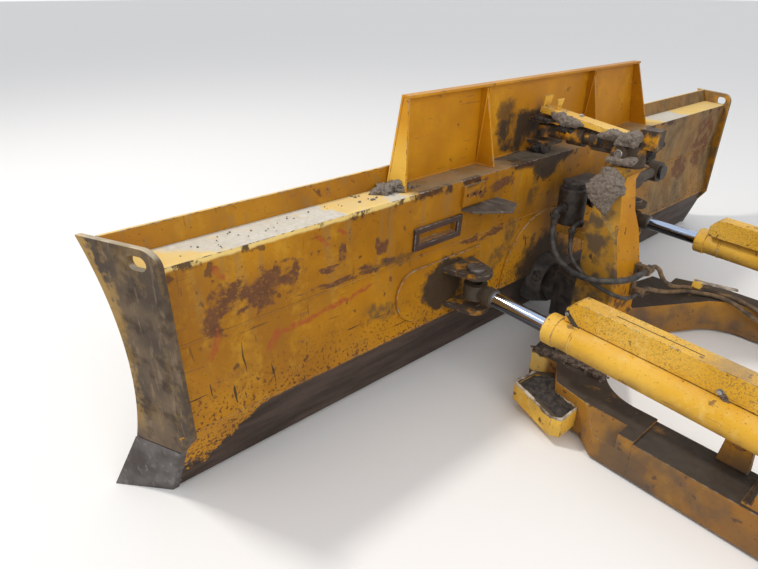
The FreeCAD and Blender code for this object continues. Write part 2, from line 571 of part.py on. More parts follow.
# Push frame: half an outline from the middle of its front round to the inner bay
body = new_body("cross_member")
half = [
    ("-frame_front", "front_half"), ("-corner_x", "corner_y"), ("-step_back_x", "corner_y + corner_rise"),
    ("-flank_x", "flank_y"), ("-heel_x", "heel_y"), ("-arm_start", "arm_outer"),
    ("-arm_joint", "arm_outer"), ("-arm_joint", "arm_inner"), ("-bay_end", "arm_inner"),
    ("-bay_x", "bay_y"), ("-tower_back", "tower_half")]
mirrored = [(x, f"-({y})") for x, y in reversed(half)]
shape = outline(sketch(body, "XY", "frame_low"), half + mirrored,
                {8: ("bay_round", -1), 12: ("bay_round", -1)})
pad(body, shape, "deck - frame_low", both=False)
shape = sketch(body, "YZ", "-heel_x - slope_long")
for side in ("", "-"):
    outline(shape, [
        (f"{side}(heel_y - 4)", "deck"), (f"{side}(arm_outer + 20)", "deck"),
        (f"{side}(arm_outer + 20)", "deck - slope_deep - 20"), (f"{side}arm_outer", "deck - slope_deep")])
cut = body.newObject("PartDesign::Pocket", "cut")
cut.Profile = shape
cut.Reversed = True
cut.setExpression("Length", sized("slope_long"))
# The corner guard's well: how far each corner of its outline lies inside the guard's, along x and y
WELL = [("well_a", "well_b"), ("well_c", "well_d"), ("well_e", "well_e"), ("well_f", "well_g"),
        ("pad_wall", "well_h"), ("pad_wall", "well_i"), ("well_j", "well_a")]
for name, side in (("left", ""), ("right", "-")):
    body = new_body(name + "_arm")
    shape = outline(sketch(body, "XZ", f"0 - ({side}(arm_inner + arm_outer) / 2)"), [
        ("-arm_joint", "frame_low"), ("-arm_joint", "deck - arm_drop"), (f"-{BEND}", "deck - arm_drop"),
        ("-pivot_reach + eye_front", "pivot_height + pivot_eye"),
        ("-pivot_reach + eye_front", "pivot_height - pivot_eye"),
        (f"-{BEND}", "frame_low")], {3: ("pivot_eye + eye_more", 1)})
    pad(body, shape, "arm_outer - arm_inner")
    shape = circle(sketch(body, "XZ"), "-pivot_reach", "pivot_height", "pivot_bore")
    pocket(body, shape, FAR)

    # corner guard: a box of bent plate outside the frame, the left one with its lid torn off;
    # its heel lies on the frame's sloping flank
    body = new_body(name + "_corner_guard")
    heel_line = "flank_y + (pad_heel - flank_x) * (heel_y - flank_y) / (heel_x - flank_x) + seat_gap"
    plan = [("-step_back_x", "corner_y + corner_rise"), ("-pad_front - pad_nose", "flank_y - pad_nose_in"),
            ("-pad_front", "pad_side"), ("-pad_heel + pad_bevel", "pad_out"),
            ("-pad_heel", "pad_out - pad_bevel_in"), ("-pad_heel", heel_line), ("-flank_x", "flank_y")]
    shape = outline(sketch(body, "XY", "pad_low"), [(x, f"{side}({y})") for x, y in plan])
    pad(body, shape, "pad_top - pad_low", both=False)
    lid = "pad_wall" if name == "right" else "0"
    inner = [
        (f"-step_back_x - {WELL[0][0]}", f"corner_y + {WELL[0][1]}"),
        (f"-pad_front - {WELL[1][0]}", f"flank_y - {WELL[1][1]}"),
        (f"-pad_front - {WELL[2][0]}", f"pad_side - {WELL[2][1]}"),
        (f"-pad_heel + {WELL[3][0]}", f"pad_out - {WELL[3][1]}"),
        ("-pad_heel + pad_wall", f"pad_out - {WELL[4][1]}"),
        ("-pad_heel + pad_wall", f"flank_y + {WELL[5][1]}"),
        (f"-flank_x + {WELL[6][0]}", f"flank_y + {WELL[6][1]}")]
    shape = outline(sketch(body, "XY", f"pad_top - {lid}"), [(x, f"{side}({y})") for x, y in inner])
    well = body.newObject("PartDesign::Pocket", "cut")
    well.Profile = shape
    well.setExpression("Length", sized(f"pad_top - pad_low - pad_wall - {lid}"))

    # bracket for the angle cylinder's base, with its pin
    middle = f"{side}clevis_y"
    pin_z = "(clevis_z - cylinder_drop)"
    body = new_body(name + "_cylinder_bracket", "-clevis_back - cylinder_run", middle, pin_z)
    low = f"(deck - arm_drop) - {pin_z}"
    reach = "base_wide / 2 + ear_gap + ear_thick"
    shape = outline(sketch(body, "XZ"), [
        ("-base_half", low), ("base_half", low), ("base_half", f"{low} + base_plate"),
        ("-base_half", f"{low} + base_plate")])
    pad(body, shape, f"2 * ({reach})")
    for sign in ("", "-"):
        shape = outline(sketch(body, "XZ", f"{sign}(base_wide / 2 + ear_gap + ear_thick / 2)"), [
            ("-ear_foot", f"{low} + base_plate"), ("ear_foot", f"{low} + base_plate"), ("ear_round", "0"),
            ("-ear_round", "0")], {2: ("ear_round", 1)})
        pad(body, shape, "ear_thick")
    shape = circle(sketch(body, "XZ"), "0", "0", "base_pin - run_gap")
    pad(body, shape, f"2 * ({reach} + base_pin_proud)")

# Seat for the centre ball on the frame's nose
body = new_body("nose_socket")
shape = outline(sketch(body, "XY", "nose_low"), [
    ("-frame_front", "-front_half"), ("-nose_front", "-nose_half"), ("-nose_front", "nose_half"),
    ("-frame_front", "front_half")])
pad(body, shape, "nose_high - nose_low", both=False)
shape = outline(sketch(body, "XY", "ball_z"), [
    ("-ball_back - ball_radius - seat_gap", "0"), ("-ball_back + ball_radius + seat_gap", "0")],
    {1: ("ball_radius + seat_gap", 1)})
turned(body, shape, "H_Axis", cut=True)

# Eyes for the lift cylinders on the arms' inner edges, ahead of the brackets
LIFT = "(clevis_back + cylinder_run - lift_ahead)"
body = new_body("lift_eyes")
for side in ("", "-"):
    shape = outline(sketch(body, "XZ", f"0 - ({side}(arm_inner + lift_thick / 2))"), [
        (f"-{LIFT} - lift_foot", "deck - arm_drop"), (f"-{LIFT} + lift_foot", "deck - arm_drop"),
        (f"-{LIFT} + lift_round", "lift_z"), (f"-{LIFT} - lift_round", "lift_z")], {2: ("lift_round", 1)})
    circle(shape, f"-{LIFT}", "lift_z", "lift_bore")
    pad(body, shape, "lift_thick")

# Tower: a tapering post whose back corners are cut off where it narrows to the neck
body = new_body("tower")
TOWER = [
    # height, back, front, half width, back corner cut along x, and along y
    ("deck", "tower_back", "frame_front", "tower_half", "8", "8"),
    ("300", "tower_back", "frame_front", "tower_half - 6", "8", "8"),
    ("400", "tower_back", "frame_front", "tower_half - 14", "8", "8"),
    ("560", "tower_back - 37", "frame_front", "tower_half - 18", "10", "8"),
    ("650", "tower_back - 57", "frame_front + 6", "tower_half - 21", "78", "36"),
    ("700", "tower_back - 66", "frame_front + 14", "tower_half - 30", "84", "28"),
    ("780", "tower_back - 76", "frame_front + 22", "neck_half", "12", "12"),
    ("810", "tower_back - 66", "frame_front + 24", "neck_half", "14", "14"),
    ("tower_top", "tower_back - 25", "frame_front + 30", "neck_half", "24", "24"),
]
sections = []
for height, back, front, half, cut_x, cut_y in TOWER:
    sections.append(outline(sketch(body, "XY", height), [
        (f"-({front})", half), (f"-({back}) + {cut_x}", half),
        (f"-({back})", f"{half} - {cut_y}"), (f"-({back})", f"{cut_y} - ({half})"),
        (f"-({back}) + {cut_x}", f"-({half})"), (f"-({front})", f"-({half})")]))
loft(body, sections)
shape = outline(sketch(body, "XY", "drum_low - lug_thick"), [
    ("-frame_front - 40", "-lug_round"), ("-ball_back", "-lug_round"), ("-ball_back", "lug_round"),
    ("-frame_front - 40", "lug_round")],
    {1: ("lug_round", 1)})
pad(body, shape, "lug_thick", both=False)

# Drum of the oil swivel on the tower's lug
body = new_body("swivel_drum", "-ball_back")
shape = outline(sketch(body, "XZ"), [
    ("0", "drum_low"), ("drum_radius", "drum_low"), ("drum_radius", "drum_high - drum_edge"),
    ("drum_radius - drum_edge", "drum_high"), ("drum_pin", "drum_high"),
    ("drum_pin", "drum_high - drum_bore_deep - drum_floor"),
    ("0", "drum_high - drum_bore_deep - drum_floor")])
turned(body, shape, "V_Axis")

# Top link: the knuckle on the tower, the link itself and the bar that guards it
body = new_body("link_knuckle", "-link_back")
shape = outline(sketch(body, "XZ"), [
    ("0", "tower_top + seat_gap"), ("knuckle_radius", "tower_top + seat_gap"),
    ("knuckle_radius", "knuckle_top"), ("0", "knuckle_top")])
turned(body, shape, "V_Axis")
shape = outline(sketch(body, "XY", "link_z - tongue_half"), [
    ("0", "-tongue_round"), ("link_back - link_joint", "-tongue_round"),
    ("link_back - link_joint", "tongue_round"), ("0", "tongue_round")], {1: ("tongue_round", 1)})
pad(body, shape, "2 * tongue_half", both=False)
shape = circle(sketch(body, "XZ", "-boss_out"), "link_back - boss_x", "boss_z", "boss_round")
pad(body, shape, "boss_out - tongue_round", both=False)
shape = outline(sketch(body, "XY", "knuckle_top - head_lap"), [
    ("link_back - head_back", "-bar_half"), ("link_back - head_front", "-bar_half"),
    ("link_back - head_front", "bar_half"), ("link_back - head_back", "bar_half")])
pad(body, shape, "head_top - knuckle_top + head_lap", both=False)
shape = circle(sketch(body, "XY"), "link_back - link_joint", "0", "link_pin")
pocket(body, shape, "4 * knuckle_top")
shape = circle(sketch(body, "XZ"), "link_back - boss_x", "boss_z", "boss_bore")
pocket(body, shape, "4 * knuckle_radius")

body = new_body("top_link", "-link_joint", z="link_z")
for low, high in (("tongue_half + fork_gap", "tongue_half + fork_gap + fork_thick"),
                  ("-tongue_half - fork_gap - fork_thick", "-tongue_half - fork_gap")):
    shape = outline(sketch(body, "XY", low), [
        ("0", "fork_round"), ("0", "-fork_round"),
        ("neck_fork_end", "-fork_round"), ("neck_fork_end", "fork_round")],
        {0: ("fork_round", 1)})
    pad(body, shape, f"({high}) - ({low})", both=False)
shape = circle(sketch(body, "XY"), "0", "0", "link_pin - run_gap")
pad(body, shape, "2 * (tongue_half + fork_gap + fork_thick)")
shape = outline(sketch(body, "XZ"), [
    ("neck_start", "0"), ("neck_start", "tongue_half + fork_gap + fork_thick"),
    ("neck_fork_end", "tongue_half + fork_gap + fork_thick"), ("neck_cone_end", "link_radius"),
    ("collar_from", "link_radius"), ("collar_from", "link_collar"), ("collar_to", "link_collar"),
    ("collar_to", "link_radius"), ("link_joint - link_bore", "link_radius"),
    ("link_joint - link_bore", "0")])
turned(body, shape, "H_Axis")
shape = circle(sketch(body, "XY"), "link_joint", "0", "link_eye")
pad(body, shape, "2 * link_eye_half")
for x in ("post_rear", "post_front"):
    shape = circle(sketch(body, "XY"), x, "0", "bar_post")
    pad(body, shape, "bar_z - link_z", both=False)
underside = "bar_z - link_z + (({}) - link_joint - bar_front) * tan(bar_slope)"
shape = outline(sketch(body, "XZ"), [
    ("underside_from", underside.format("underside_from")),
    ("link_joint + underside_past", underside.format("link_joint + underside_past")),
    ("link_joint + underside_past", "bar_z"), ("underside_from", "bar_z")])
pocket(body, shape, "4 * bar_half")
shape = circle(sketch(body, "XY"), "link_joint", "0", "link_bore")
pocket(body, shape, "4 * link_eye_half")

# The bar is drawn flat from its front end and then sloped down to the rear
body = new_body("top_link_guard", "bar_front", z="bar_z")
shape = outline(sketch(body, "YZ", "-bar_long"), [
    ("-bar_half - bar_flange", "-bar_lip"), ("-bar_half - bar_flange", "bar_thick"),
    ("bar_half + bar_flange", "bar_thick"), ("bar_half + bar_flange", "-bar_lip"),
    ("bar_half", "-bar_lip"), ("bar_half", "0"), ("-bar_half", "0"), ("-bar_half", "-bar_lip")])
pad(body, shape, "bar_long", both=False)
EARS = [
    # x of its front, half width at the foot, half width at the top
    ("0", "bar_half - bar_ear_inset", "bar_half"),
    ("-rear_ear_at", "rear_ear_foot", "rear_ear_top"),
]
for x, foot, top in EARS:
    shape = outline(sketch(body, "YZ", f"({x}) - bar_ear_thick"), [
        (f"-({foot})", "bar_thick"), (f"{foot}", "bar_thick"), (f"{top}", "bar_thick + bar_ear"),
        (f"-({top})", "bar_thick + bar_ear")])
    pad(body, shape, "bar_ear_thick", both=False)
body.Placement = FreeCAD.Placement(V(), FreeCAD.Rotation(V(0, 1, 0), -number("bar_slope")))
body.setExpression("Placement.Rotation.Angle", sized("-bar_slope"))

# Angle cylinders, drawn along x from the blade's pin and then sloped down to the rear
AXIS = "sqrt(cylinder_run^2 + cylinder_drop^2)"
BARREL_END = f"({AXIS} - ear_round - barrel_clear)"
COVER_END = f"({AXIS} - cover_tail)"
for name, side in (("left", 1), ("right", -1)):
    pieces = []
    body = new_body(name + "_angle_barrel", "-clevis_back", f"{side} * clevis_y", "clevis_z")
    pieces.append(body)
    profile = [
        # x behind the blade's pin, radius
        ("gland_face", "rod_radius + run_gap"),
        ("gland_face", "gland_radius - gland_edge"),
        ("gland_face + gland_edge", "gland_radius"),
        ("gland_face + gland_long", "gland_radius"),
        ("gland_face + gland_long", "barrel_radius"),
        ("ring_at", "barrel_radius"),
        ("ring_at + ring_half", "barrel_radius + ring_proud"),
        ("ring_at + 2 * ring_half", "barrel_radius"),
        (BARREL_END, "barrel_radius"),
        (f"{BARREL_END} + barrel_cap", "barrel_radius - barrel_rim"),
        (f"{BARREL_END} + barrel_cap", "0"),
        (BARREL_END, "0"),
        (BARREL_END, "barrel_bore"),
        ("gland_face + gland_depth", "barrel_bore"),
        ("gland_face + gland_depth", "rod_radius + run_gap"),
    ]
    turned(body, outline(sketch(body, "XZ"), [(f"-({x})", radius) for x, radius in profile]), "H_Axis")
    shape = outline(sketch(body, "XZ"), [
        (f"-({AXIS})", "base_eye"), (f"-({AXIS})", "-base_eye"),
        (f"-({BARREL_END} + neck_lap)", "-base_eye + base_neck"),
        (f"-({BARREL_END} + neck_lap)", "base_eye - base_neck")], {0: ("base_eye", 1)})
    circle(shape, f"-({AXIS})", "0", "base_pin")
    pad(body, shape, "base_wide")

    body = new_body(name + "_angle_rod", "-clevis_back", f"{side} * clevis_y", "clevis_z")
    pieces.append(body)
    shape = outline(sketch(body, "XZ"), [
        ("-eye_radius + eye_inset", "0"), ("-eye_radius + eye_inset", "eye_tall / 2"),
        ("-collar_end + collar_taper", "collar_radius"), ("-collar_end", "collar_radius"),
        ("-collar_end - rod_shoulder", "rod_radius"), ("-rod_tail", "rod_radius"), ("-rod_tail", "0")])
    turned(body, shape, "H_Axis")
    pad(body, circle(sketch(body, "XY"), "0", "0", "eye_radius"), "eye_tall")
    pocket(body, circle(sketch(body, "XY"), "0", "0", "eye_bore"), "2 * eye_tall")

    body = new_body(name + "_cylinder_cover", "-clevis_back", f"{side} * clevis_y", "clevis_z")
    pieces.append(body)
    middle = f"{side} * (cover_wide / 2 - cover_sheet / 2)"
    foot = "barrel_radius + ring_proud + cover_lift"
    shape = outline(sketch(body, "XZ", middle), [
        ("-cover_front", foot), ("-cover_front", "cover_top - cover_chamfer"),
        ("-cover_front - cover_chamfer", "cover_top"),
        (f"-{COVER_END}", "cover_top"), (f"-{COVER_END}", foot)])
    pad(body, shape, "cover_wide")
    shape = outline(sketch(body, "XZ", middle), [
        ("-cover_front - cover_sheet", "0"),
        ("-cover_front - cover_sheet", "cover_top - cover_chamfer - cover_sheet / 2"),
        ("-cover_front - cover_chamfer - cover_sheet / 2", "cover_top - cover_sheet"),
        (f"-{COVER_END} - cover_open", "cover_top - cover_sheet"), (f"-{COVER_END} - cover_open", "0")])
    pocket(body, shape, "cover_wide - 2 * cover_sheet")
    for piece in pieces:
        piece.Placement = FreeCAD.Placement(V(), FreeCAD.Rotation(V(0, 1, 0), -2))
        piece.setExpression("Placement.Rotation.Angle", sized("-atan(cylinder_drop / cylinder_run)"))

# Fittings on the drum's left side and on the lug, and the clamp behind the tower
body = new_body("hose_fittings")
shape = outline(sketch(body, "XY", "fitting_low"), [
    ("-ball_back - fitting_half", "0"), ("-ball_back + fitting_half", "0"),
    ("-ball_back + fitting_half", "fitting_out"), ("-ball_back - fitting_half", "fitting_out")])
pad(body, shape, "fitting_high - fitting_low", both=False)
shape = circle(sketch(body, "XY"), "-ball_back", "0", "drum_radius")
pocket(body, shape, FAR)
shape = outline(sketch(body, "XY", "drum_low"), [
    ("-ball_back - lug_fitting_back", "lug_round - lug_fitting_in"),
    ("-ball_back - lug_fitting_front", "lug_round - lug_fitting_in"),
    ("-ball_back - lug_fitting_front", "fitting_out - lug_fitting_out"),
    ("-ball_back - lug_fitting_back", "fitting_out - lug_fitting_out")])
pad(body, shape, "lug_fitting_tall", both=False)
body = new_body("hose_clamp")
shape = outline(sketch(body, "XY", "clamp_low"), [
    ("-tower_back", "-clamp_far"), ("-tower_back", "-clamp_near"),
    ("-tower_back - clamp_back", "-clamp_near"), ("-tower_back - clamp_back", "-clamp_far")])
pad(body, shape, "clamp_high - clamp_low", both=False)


def tube(label, points, radius):
    """A round tube along straight runs joined by tangent arcs, each as large as its
    two runs allow: 0.45 of the shorter run over the tangent of half the turn."""
    points = [V(*point) for point in points]
    edges = []
    start = points[0]
    radii = []
    for before, corner, after in zip(points, points[1:], points[2:]):
        into, out = corner - before, after - corner
        turn = into.getAngle(out)
        cut = 0.45 * min(into.Length, out.Length)
        radii.append(round(cut / math.tan(turn / 2)))
        into.normalize()
        out.normalize()
        first, last = corner - into * cut, corner + out * cut
        bend = (out - into).normalize()
        radius_here = cut / math.tan(turn / 2)
        middle = corner + bend * (math.hypot(cut, radius_here) - radius_here)
        edges.append(Part.LineSegment(start, first).toShape())
        edges.append(Part.Arc(first, middle, last).toShape())
        start = last
    edges.append(Part.LineSegment(start, points[-1]).toShape())
    path = Part.Wire(edges)
    ring = Part.Wire(Part.Circle(points[0], points[1] - points[0], radius).toShape())
    solid = path.makePipeShell([ring], True, False)
    ratio = solid.Volume / (math.pi * radius ** 2 * path.Length)
    print(label, "bend radii", radii, "length", round(path.Length), "volume ratio", round(ratio, 4))
    return solid


def placed_feature(label, solid):
    piece = doc.addObject("Part::Feature", label)
    piece.Label = label
    piece.Shape = solid
    shifted(piece)
    return piece


# Hoses from the fitting block, round the tower's left side and into the clamp behind it
THICK_HOSE = [
    (-189, 132, 589.7), (-189, 132, 545), (-203, 158, 492), (-255, 178, 425), (-353, 180, 383),
    (-440, 166, 382), (-504, 140, 392), (-547, 90, 398), (-556, 24, 398), (-556, -44.7, 398)]
THIN_HOSE = [
    (-270, 108, 531.7), (-270, 108, 502), (-282, 126, 462), (-314, 142, 422), (-368, 146, 383),
    (-436, 142, 352), (-500, 130, 332), (-540, 80, 304), (-544, 14, 284), (-544, -44.7, 284)]
placed_feature("thick_hose", tube("thick_hose", THICK_HOSE, number("hose_thick") / 2))
placed_feature("thin_hose", tube("thin_hose", THIN_HOSE, number("hose_thin") / 2))

# Steel lines from the clamp over the deck and along the right arm's inner side
clamp_end = -number("clamp_far") - number("hose_face")
high = number("deck") + number("line_size") / 2
inner = -number("arm_inner") + number("line_size") / 2 + 5
LINES = [
    [(-556, clamp_end, 398), (-556, -132, 398), (-557, -190, 366), (-560, -245, 300),
     (-562, -310, 252), (-568, -385, high + 36), (-600, -470, high + 18), (-680, -532, high + 8),
     (-780, -552, high + 6), (-860, -530, high + 4), (-930, inner, 162), (-1010, inner, 140),
     (-1180, inner, 132), (-1400, inner, 133), (-1680, inner, 186), (-2060, inner, 310)],
    [(-544, clamp_end, 284), (-544, -128, 284), (-550, -180, 262), (-556, -250, 232),
     (-570, -330, high + 28), (-602, -420, high + 14), (-660, -480, high + 7),
     (-730, -508, high + 6), (-795, -504, high + 3), (-855, -502, 160), (-925, -514, 126),
     (-1010, inner, 104), (-1180, inner, 98), (-1400, inner, 99), (-1680, inner, 148),
     (-2060, inner, 270)],
]
solids = [tube("steel_lines", points, number("line_size") / 2) for points in LINES]
placed_feature("steel_lines", Part.makeCompound(solids))

doc.recompute()
os.makedirs("parts", exist_ok=True)
nodes = [part for part in doc.Objects if part.TypeId in ("PartDesign::Body", "Part::Feature")]
for part in doc.Objects:
    if "Invalid" in part.State or "Error" in part.State:
        raise RuntimeError(f"{part.Name} failed: {part.State}")
for node in nodes:
    if node.Shape.isNull() or not node.Shape.isValid() or not node.Shape.Solids:
        raise RuntimeError(f"{node.Label} has no valid solid")
for node in nodes:
    node.Shape.exportStep(f"parts/{node.Label}.step")
    box = node.Shape.BoundBox
    spans = ((box.XMin, box.XMax), (box.YMin, box.YMax), (box.ZMin, box.ZMax))
    reach = " ".join(f"{axis} {low:.0f}..{high:.0f}" for axis, (low, high) in zip("xyz", spans))
    litres = node.Shape.Volume / 1e6
    print(f"{node.Label:22s} solids {len(node.Shape.Solids)} volume {litres:9.3f} l {reach}")
print(len(nodes), "nodes")
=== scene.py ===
# %% [markdown]
# # A bulldozer's blade, seen from behind its left end
# The imported model gives every steel piece in its true place. This lesson adds what the
# lens sees and the solids lack: rounded and worn plate edges, weld beads, bolts, two
# rubber hoses, dried mud and old grease, and the finishes of a blade that has worked.

# %% The frame, in metres, and the ground's height
import functools
import json
import math

import bmesh
import bpy
import numpy as np
from mathutils import Matrix, Vector


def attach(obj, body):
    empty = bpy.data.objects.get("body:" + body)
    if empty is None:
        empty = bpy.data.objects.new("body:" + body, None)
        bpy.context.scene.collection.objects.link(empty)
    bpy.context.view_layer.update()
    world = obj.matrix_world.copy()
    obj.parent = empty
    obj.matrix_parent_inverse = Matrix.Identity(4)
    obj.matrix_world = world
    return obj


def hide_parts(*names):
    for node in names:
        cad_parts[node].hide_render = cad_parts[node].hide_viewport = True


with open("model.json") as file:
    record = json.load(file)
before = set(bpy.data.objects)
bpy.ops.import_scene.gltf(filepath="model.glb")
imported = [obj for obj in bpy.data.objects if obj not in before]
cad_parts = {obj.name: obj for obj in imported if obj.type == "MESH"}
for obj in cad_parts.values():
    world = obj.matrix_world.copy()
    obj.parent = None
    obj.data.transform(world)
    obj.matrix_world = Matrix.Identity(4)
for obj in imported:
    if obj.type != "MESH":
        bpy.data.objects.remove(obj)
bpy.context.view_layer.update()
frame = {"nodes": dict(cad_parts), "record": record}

BODIES = frame["record"]["behaviour"]["bodies"]
BODY_OF = {node: body for body, nodes in BODIES.items() for node in nodes}
GROUND = -0.42


def add_object(name, data):
    """A new object in the scene that shows the data."""
    piece = bpy.data.objects.new(name, data)
    bpy.context.scene.collection.objects.link(piece)
    return piece


# %% [markdown]
# ## Camera
# A camera is a point, a direction and a focal length. This one stands where a person
# leaning from the machine's left step would, a little over a metre above the pivots,
# and it is level: its right-hand direction has no height in it.

# %% Camera
EYE = Vector((0.874, 2.260, 1.067))
YAW, PITCH = math.radians(40.62), math.radians(27.61)
FOCAL_LENGTH, PICTURE_WIDTH = 567.1, 758  # in pixels
SENSOR_WIDTH = 36  # in millimetres
ahead = Vector((math.cos(YAW) * math.cos(PITCH), -math.sin(YAW) * math.cos(PITCH),
                -math.sin(PITCH)))
right = Vector((-math.sin(YAW), -math.cos(YAW), 0))
above = right.cross(ahead)
camera = add_object("camera", bpy.data.cameras.new("camera"))
camera.matrix_world = Matrix((
    (right.x, above.x, -ahead.x, EYE.x), (right.y, above.y, -ahead.y, EYE.y),
    (right.z, above.z, -ahead.z, EYE.z), (0, 0, 0, 1)))
camera.data.sensor_width = SENSOR_WIDTH
camera.data.lens = SENSOR_WIDTH * FOCAL_LENGTH / PICTURE_WIDTH
camera.data.clip_start = 0.02
bpy.context.scene.camera = camera
bpy.context.scene.view_settings.view_transform = "Standard"
print("camera at", tuple(EYE))

# %% [markdown]
# ## Hoses
# Two rubber hoses bring oil from the clamp behind the tower to the oil swivel in front
# of it. A curve with a round bevel is the plainest way to model a hose: its control
# points are where someone's hands would hold it, and the spline rounds what is between.

# %% Hoses
def hose(name, points, diameter):
    """A tube along a smooth spline that is pulled towards the points, in order."""
    curve = bpy.data.curves.new(name, "CURVE")
    curve.dimensions = "3D"
    curve.bevel_depth = 1.0  # each point's radius brings it down to the hose's
    curve.bevel_resolution = 6
    curve.resolution_u = 14
    curve.use_fill_caps = True
    line = curve.splines.new("NURBS")
    line.points.add(len(points) - 1)
    for point, place in zip(line.points, points):
        point.co = (*place, 1)
        point.radius = diameter / 2
    line.order_u = 3
    line.use_endpoint_u = True
    piece = add_object(name, curve)
    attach(piece, "c_frame")
    return piece


thick_route = [
    (2.161, 0.132, 0.1697), (2.161, 0.132, 0.125), (2.147, 0.158, 0.072), (2.095, 0.178, 0.005),
    (1.997, 0.180, -0.037), (1.910, 0.166, -0.038), (1.846, 0.140, -0.028), (1.803, 0.090, -0.022),
    (1.794, 0.024, -0.022), (1.794, -0.0447, -0.022)]
thin_route = [
    (2.080, 0.108, 0.1117), (2.080, 0.108, 0.082), (2.068, 0.126, 0.042), (2.036, 0.142, 0.002),
    (1.982, 0.146, -0.037), (1.914, 0.142, -0.068), (1.850, 0.130, -0.088), (1.810, 0.080, -0.116),
    (1.806, 0.014, -0.136), (1.806, -0.0447, -0.136)]
thick_hose = hose("thick_hose_rubber", thick_route, diameter=0.027)
thin_hose = hose("thin_hose_rubber", thin_route, diameter=0.018)
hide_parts("thick_hose")
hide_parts("thin_hose")

# %% [markdown]
# ## Shader maths as Python
# A procedural finish is arithmetic on the place of a point. Wired by hand it is a
# tangle of nodes, so one small class wraps a socket and overloads the operators: an
# expression such as `1 - mask * 0.5` adds its Math nodes by itself.

# %% Wrapped sockets
class Wire:
    """One output of a material's node tree, which takes part in arithmetic."""

    def __init__(self, finish, socket):
        self.finish, self.socket = finish, socket

    def maths(self, operation, *others):
        return self.finish.node("ShaderNodeMath", {"operation": operation}, self, *others)

    def __rsub__(self, other):
        return self.finish.node("ShaderNodeMath", {"operation": "SUBTRACT"}, other, self)

    def __add__(self, other): return self.maths("ADD", other)
    def __sub__(self, other): return self.maths("SUBTRACT", other)
    def __mul__(self, other): return self.maths("MULTIPLY", other)
    def __truediv__(self, other): return self.maths("DIVIDE", other)
    __radd__, __rmul__ = __add__, __mul__

    def larger(self, other): return self.maths("MAXIMUM", other)
    def smaller(self, other): return self.maths("MINIMUM", other)
    def size(self): return self.maths("ABSOLUTE")

    def between(self, low, high):
        """0 up to low, 1 from high on, and an S-curve from one to the other."""
        return self.finish.node("ShaderNodeMapRange", {"interpolation_type": "SMOOTHSTEP"},
                                self, low, high, 0.0, 1.0)


class Finish:
    """A material around one Principled shader."""

    def __init__(self, name, metallic=0.0, roughness=0.5):
        self.material = bpy.data.materials.new(name)
        self.material.use_nodes = True
        self.tree = self.material.node_tree
        self.shader = self.tree.nodes["Principled BSDF"]
        self.shader.inputs["Metallic"].default_value = metallic
        self.shader.inputs["Roughness"].default_value = roughness
        self.place = self.node("ShaderNodeTexCoord", {}, output="Object")
        split = self.node("ShaderNodeSeparateXYZ", {}, self.place).socket.node
        self.x, self.y, self.z = (Wire(self, split.outputs[i]) for i in range(3))
        normal = self.node("ShaderNodeNewGeometry", {}, output="Normal")
        facing = self.node("ShaderNodeSeparateXYZ", {}, normal).socket.node
        self.ahead, self.left, self.up = (Wire(self, facing.outputs[i]) for i in range(3))
        print("finish", name)

    def node(self, kind, settings, *values, output=0):
        """Any node: its settings first, then a value or a wire for each input in order."""
        made = self.tree.nodes.new(kind)
        for name, setting in settings.items():
            setattr(made, name, setting)
        inputs = [socket for socket in made.inputs if socket.enabled]
        for socket, value in zip(inputs, values):
            if isinstance(value, Wire):
                self.tree.links.new(value.socket, socket)
            elif value is not None:
                socket.default_value = value
        return Wire(self, made.outputs[output])

    def noise(self, scale, detail=4.0, stretch=(1, 1, 1), shift=(0, 0, 0), roughness=0.55):
        """Cloudy noise around 0.5, with features of about 1 / scale metres."""
        placed = self.node("ShaderNodeMapping", {}, self.place, shift, (0, 0, 0), stretch)
        made = self.tree.nodes.new("ShaderNodeTexNoise")
        self.tree.links.new(placed.socket, made.inputs["Vector"])
        for name, value in (("Scale", scale), ("Detail", detail), ("Roughness", roughness)):
            made.inputs[name].default_value = value
        return Wire(self, made.outputs[0])

    def colour(self, mask, below, over):
        """The colour below where mask is 0, and the one over it where mask is 1."""
        made = self.tree.nodes.new("ShaderNodeMix")
        made.data_type = "RGBA"
        for index, value in ((0, mask), (6, below), (7, over)):
            if isinstance(value, Wire):
                self.tree.links.new(value.socket, made.inputs[index])
            else:
                made.inputs[index].default_value = value if index == 0 else (*value, 1)
        return Wire(self, made.outputs[2])

    def mottled(self, scale, detail, below, over):
        """Two colours that soft noise clouds together."""
        return self.colour(self.noise(scale, detail), below, over)

    def rise(self, low, high):
        """0 up to the height low above the ground, and 1 from the height high on."""
        return self.z.between(low + GROUND, high + GROUND)

    def attribute(self, name):
        return self.node("ShaderNodeAttribute", {"attribute_name": name}, output="Fac")

    def give(self, name, value):
        if isinstance(value, Wire):
            self.tree.links.new(value.socket, self.shader.inputs[name])
        else:
            self.shader.inputs[name].default_value = value

    def bump(self, height, distance, strength=1.0):
        made = self.tree.nodes.new("ShaderNodeBump")
        made.inputs["Distance"].default_value = distance
        made.inputs["Strength"].default_value = strength
        self.tree.links.new(height.socket, made.inputs["Height"])
        self.tree.links.new(made.outputs[0], self.shader.inputs["Normal"])
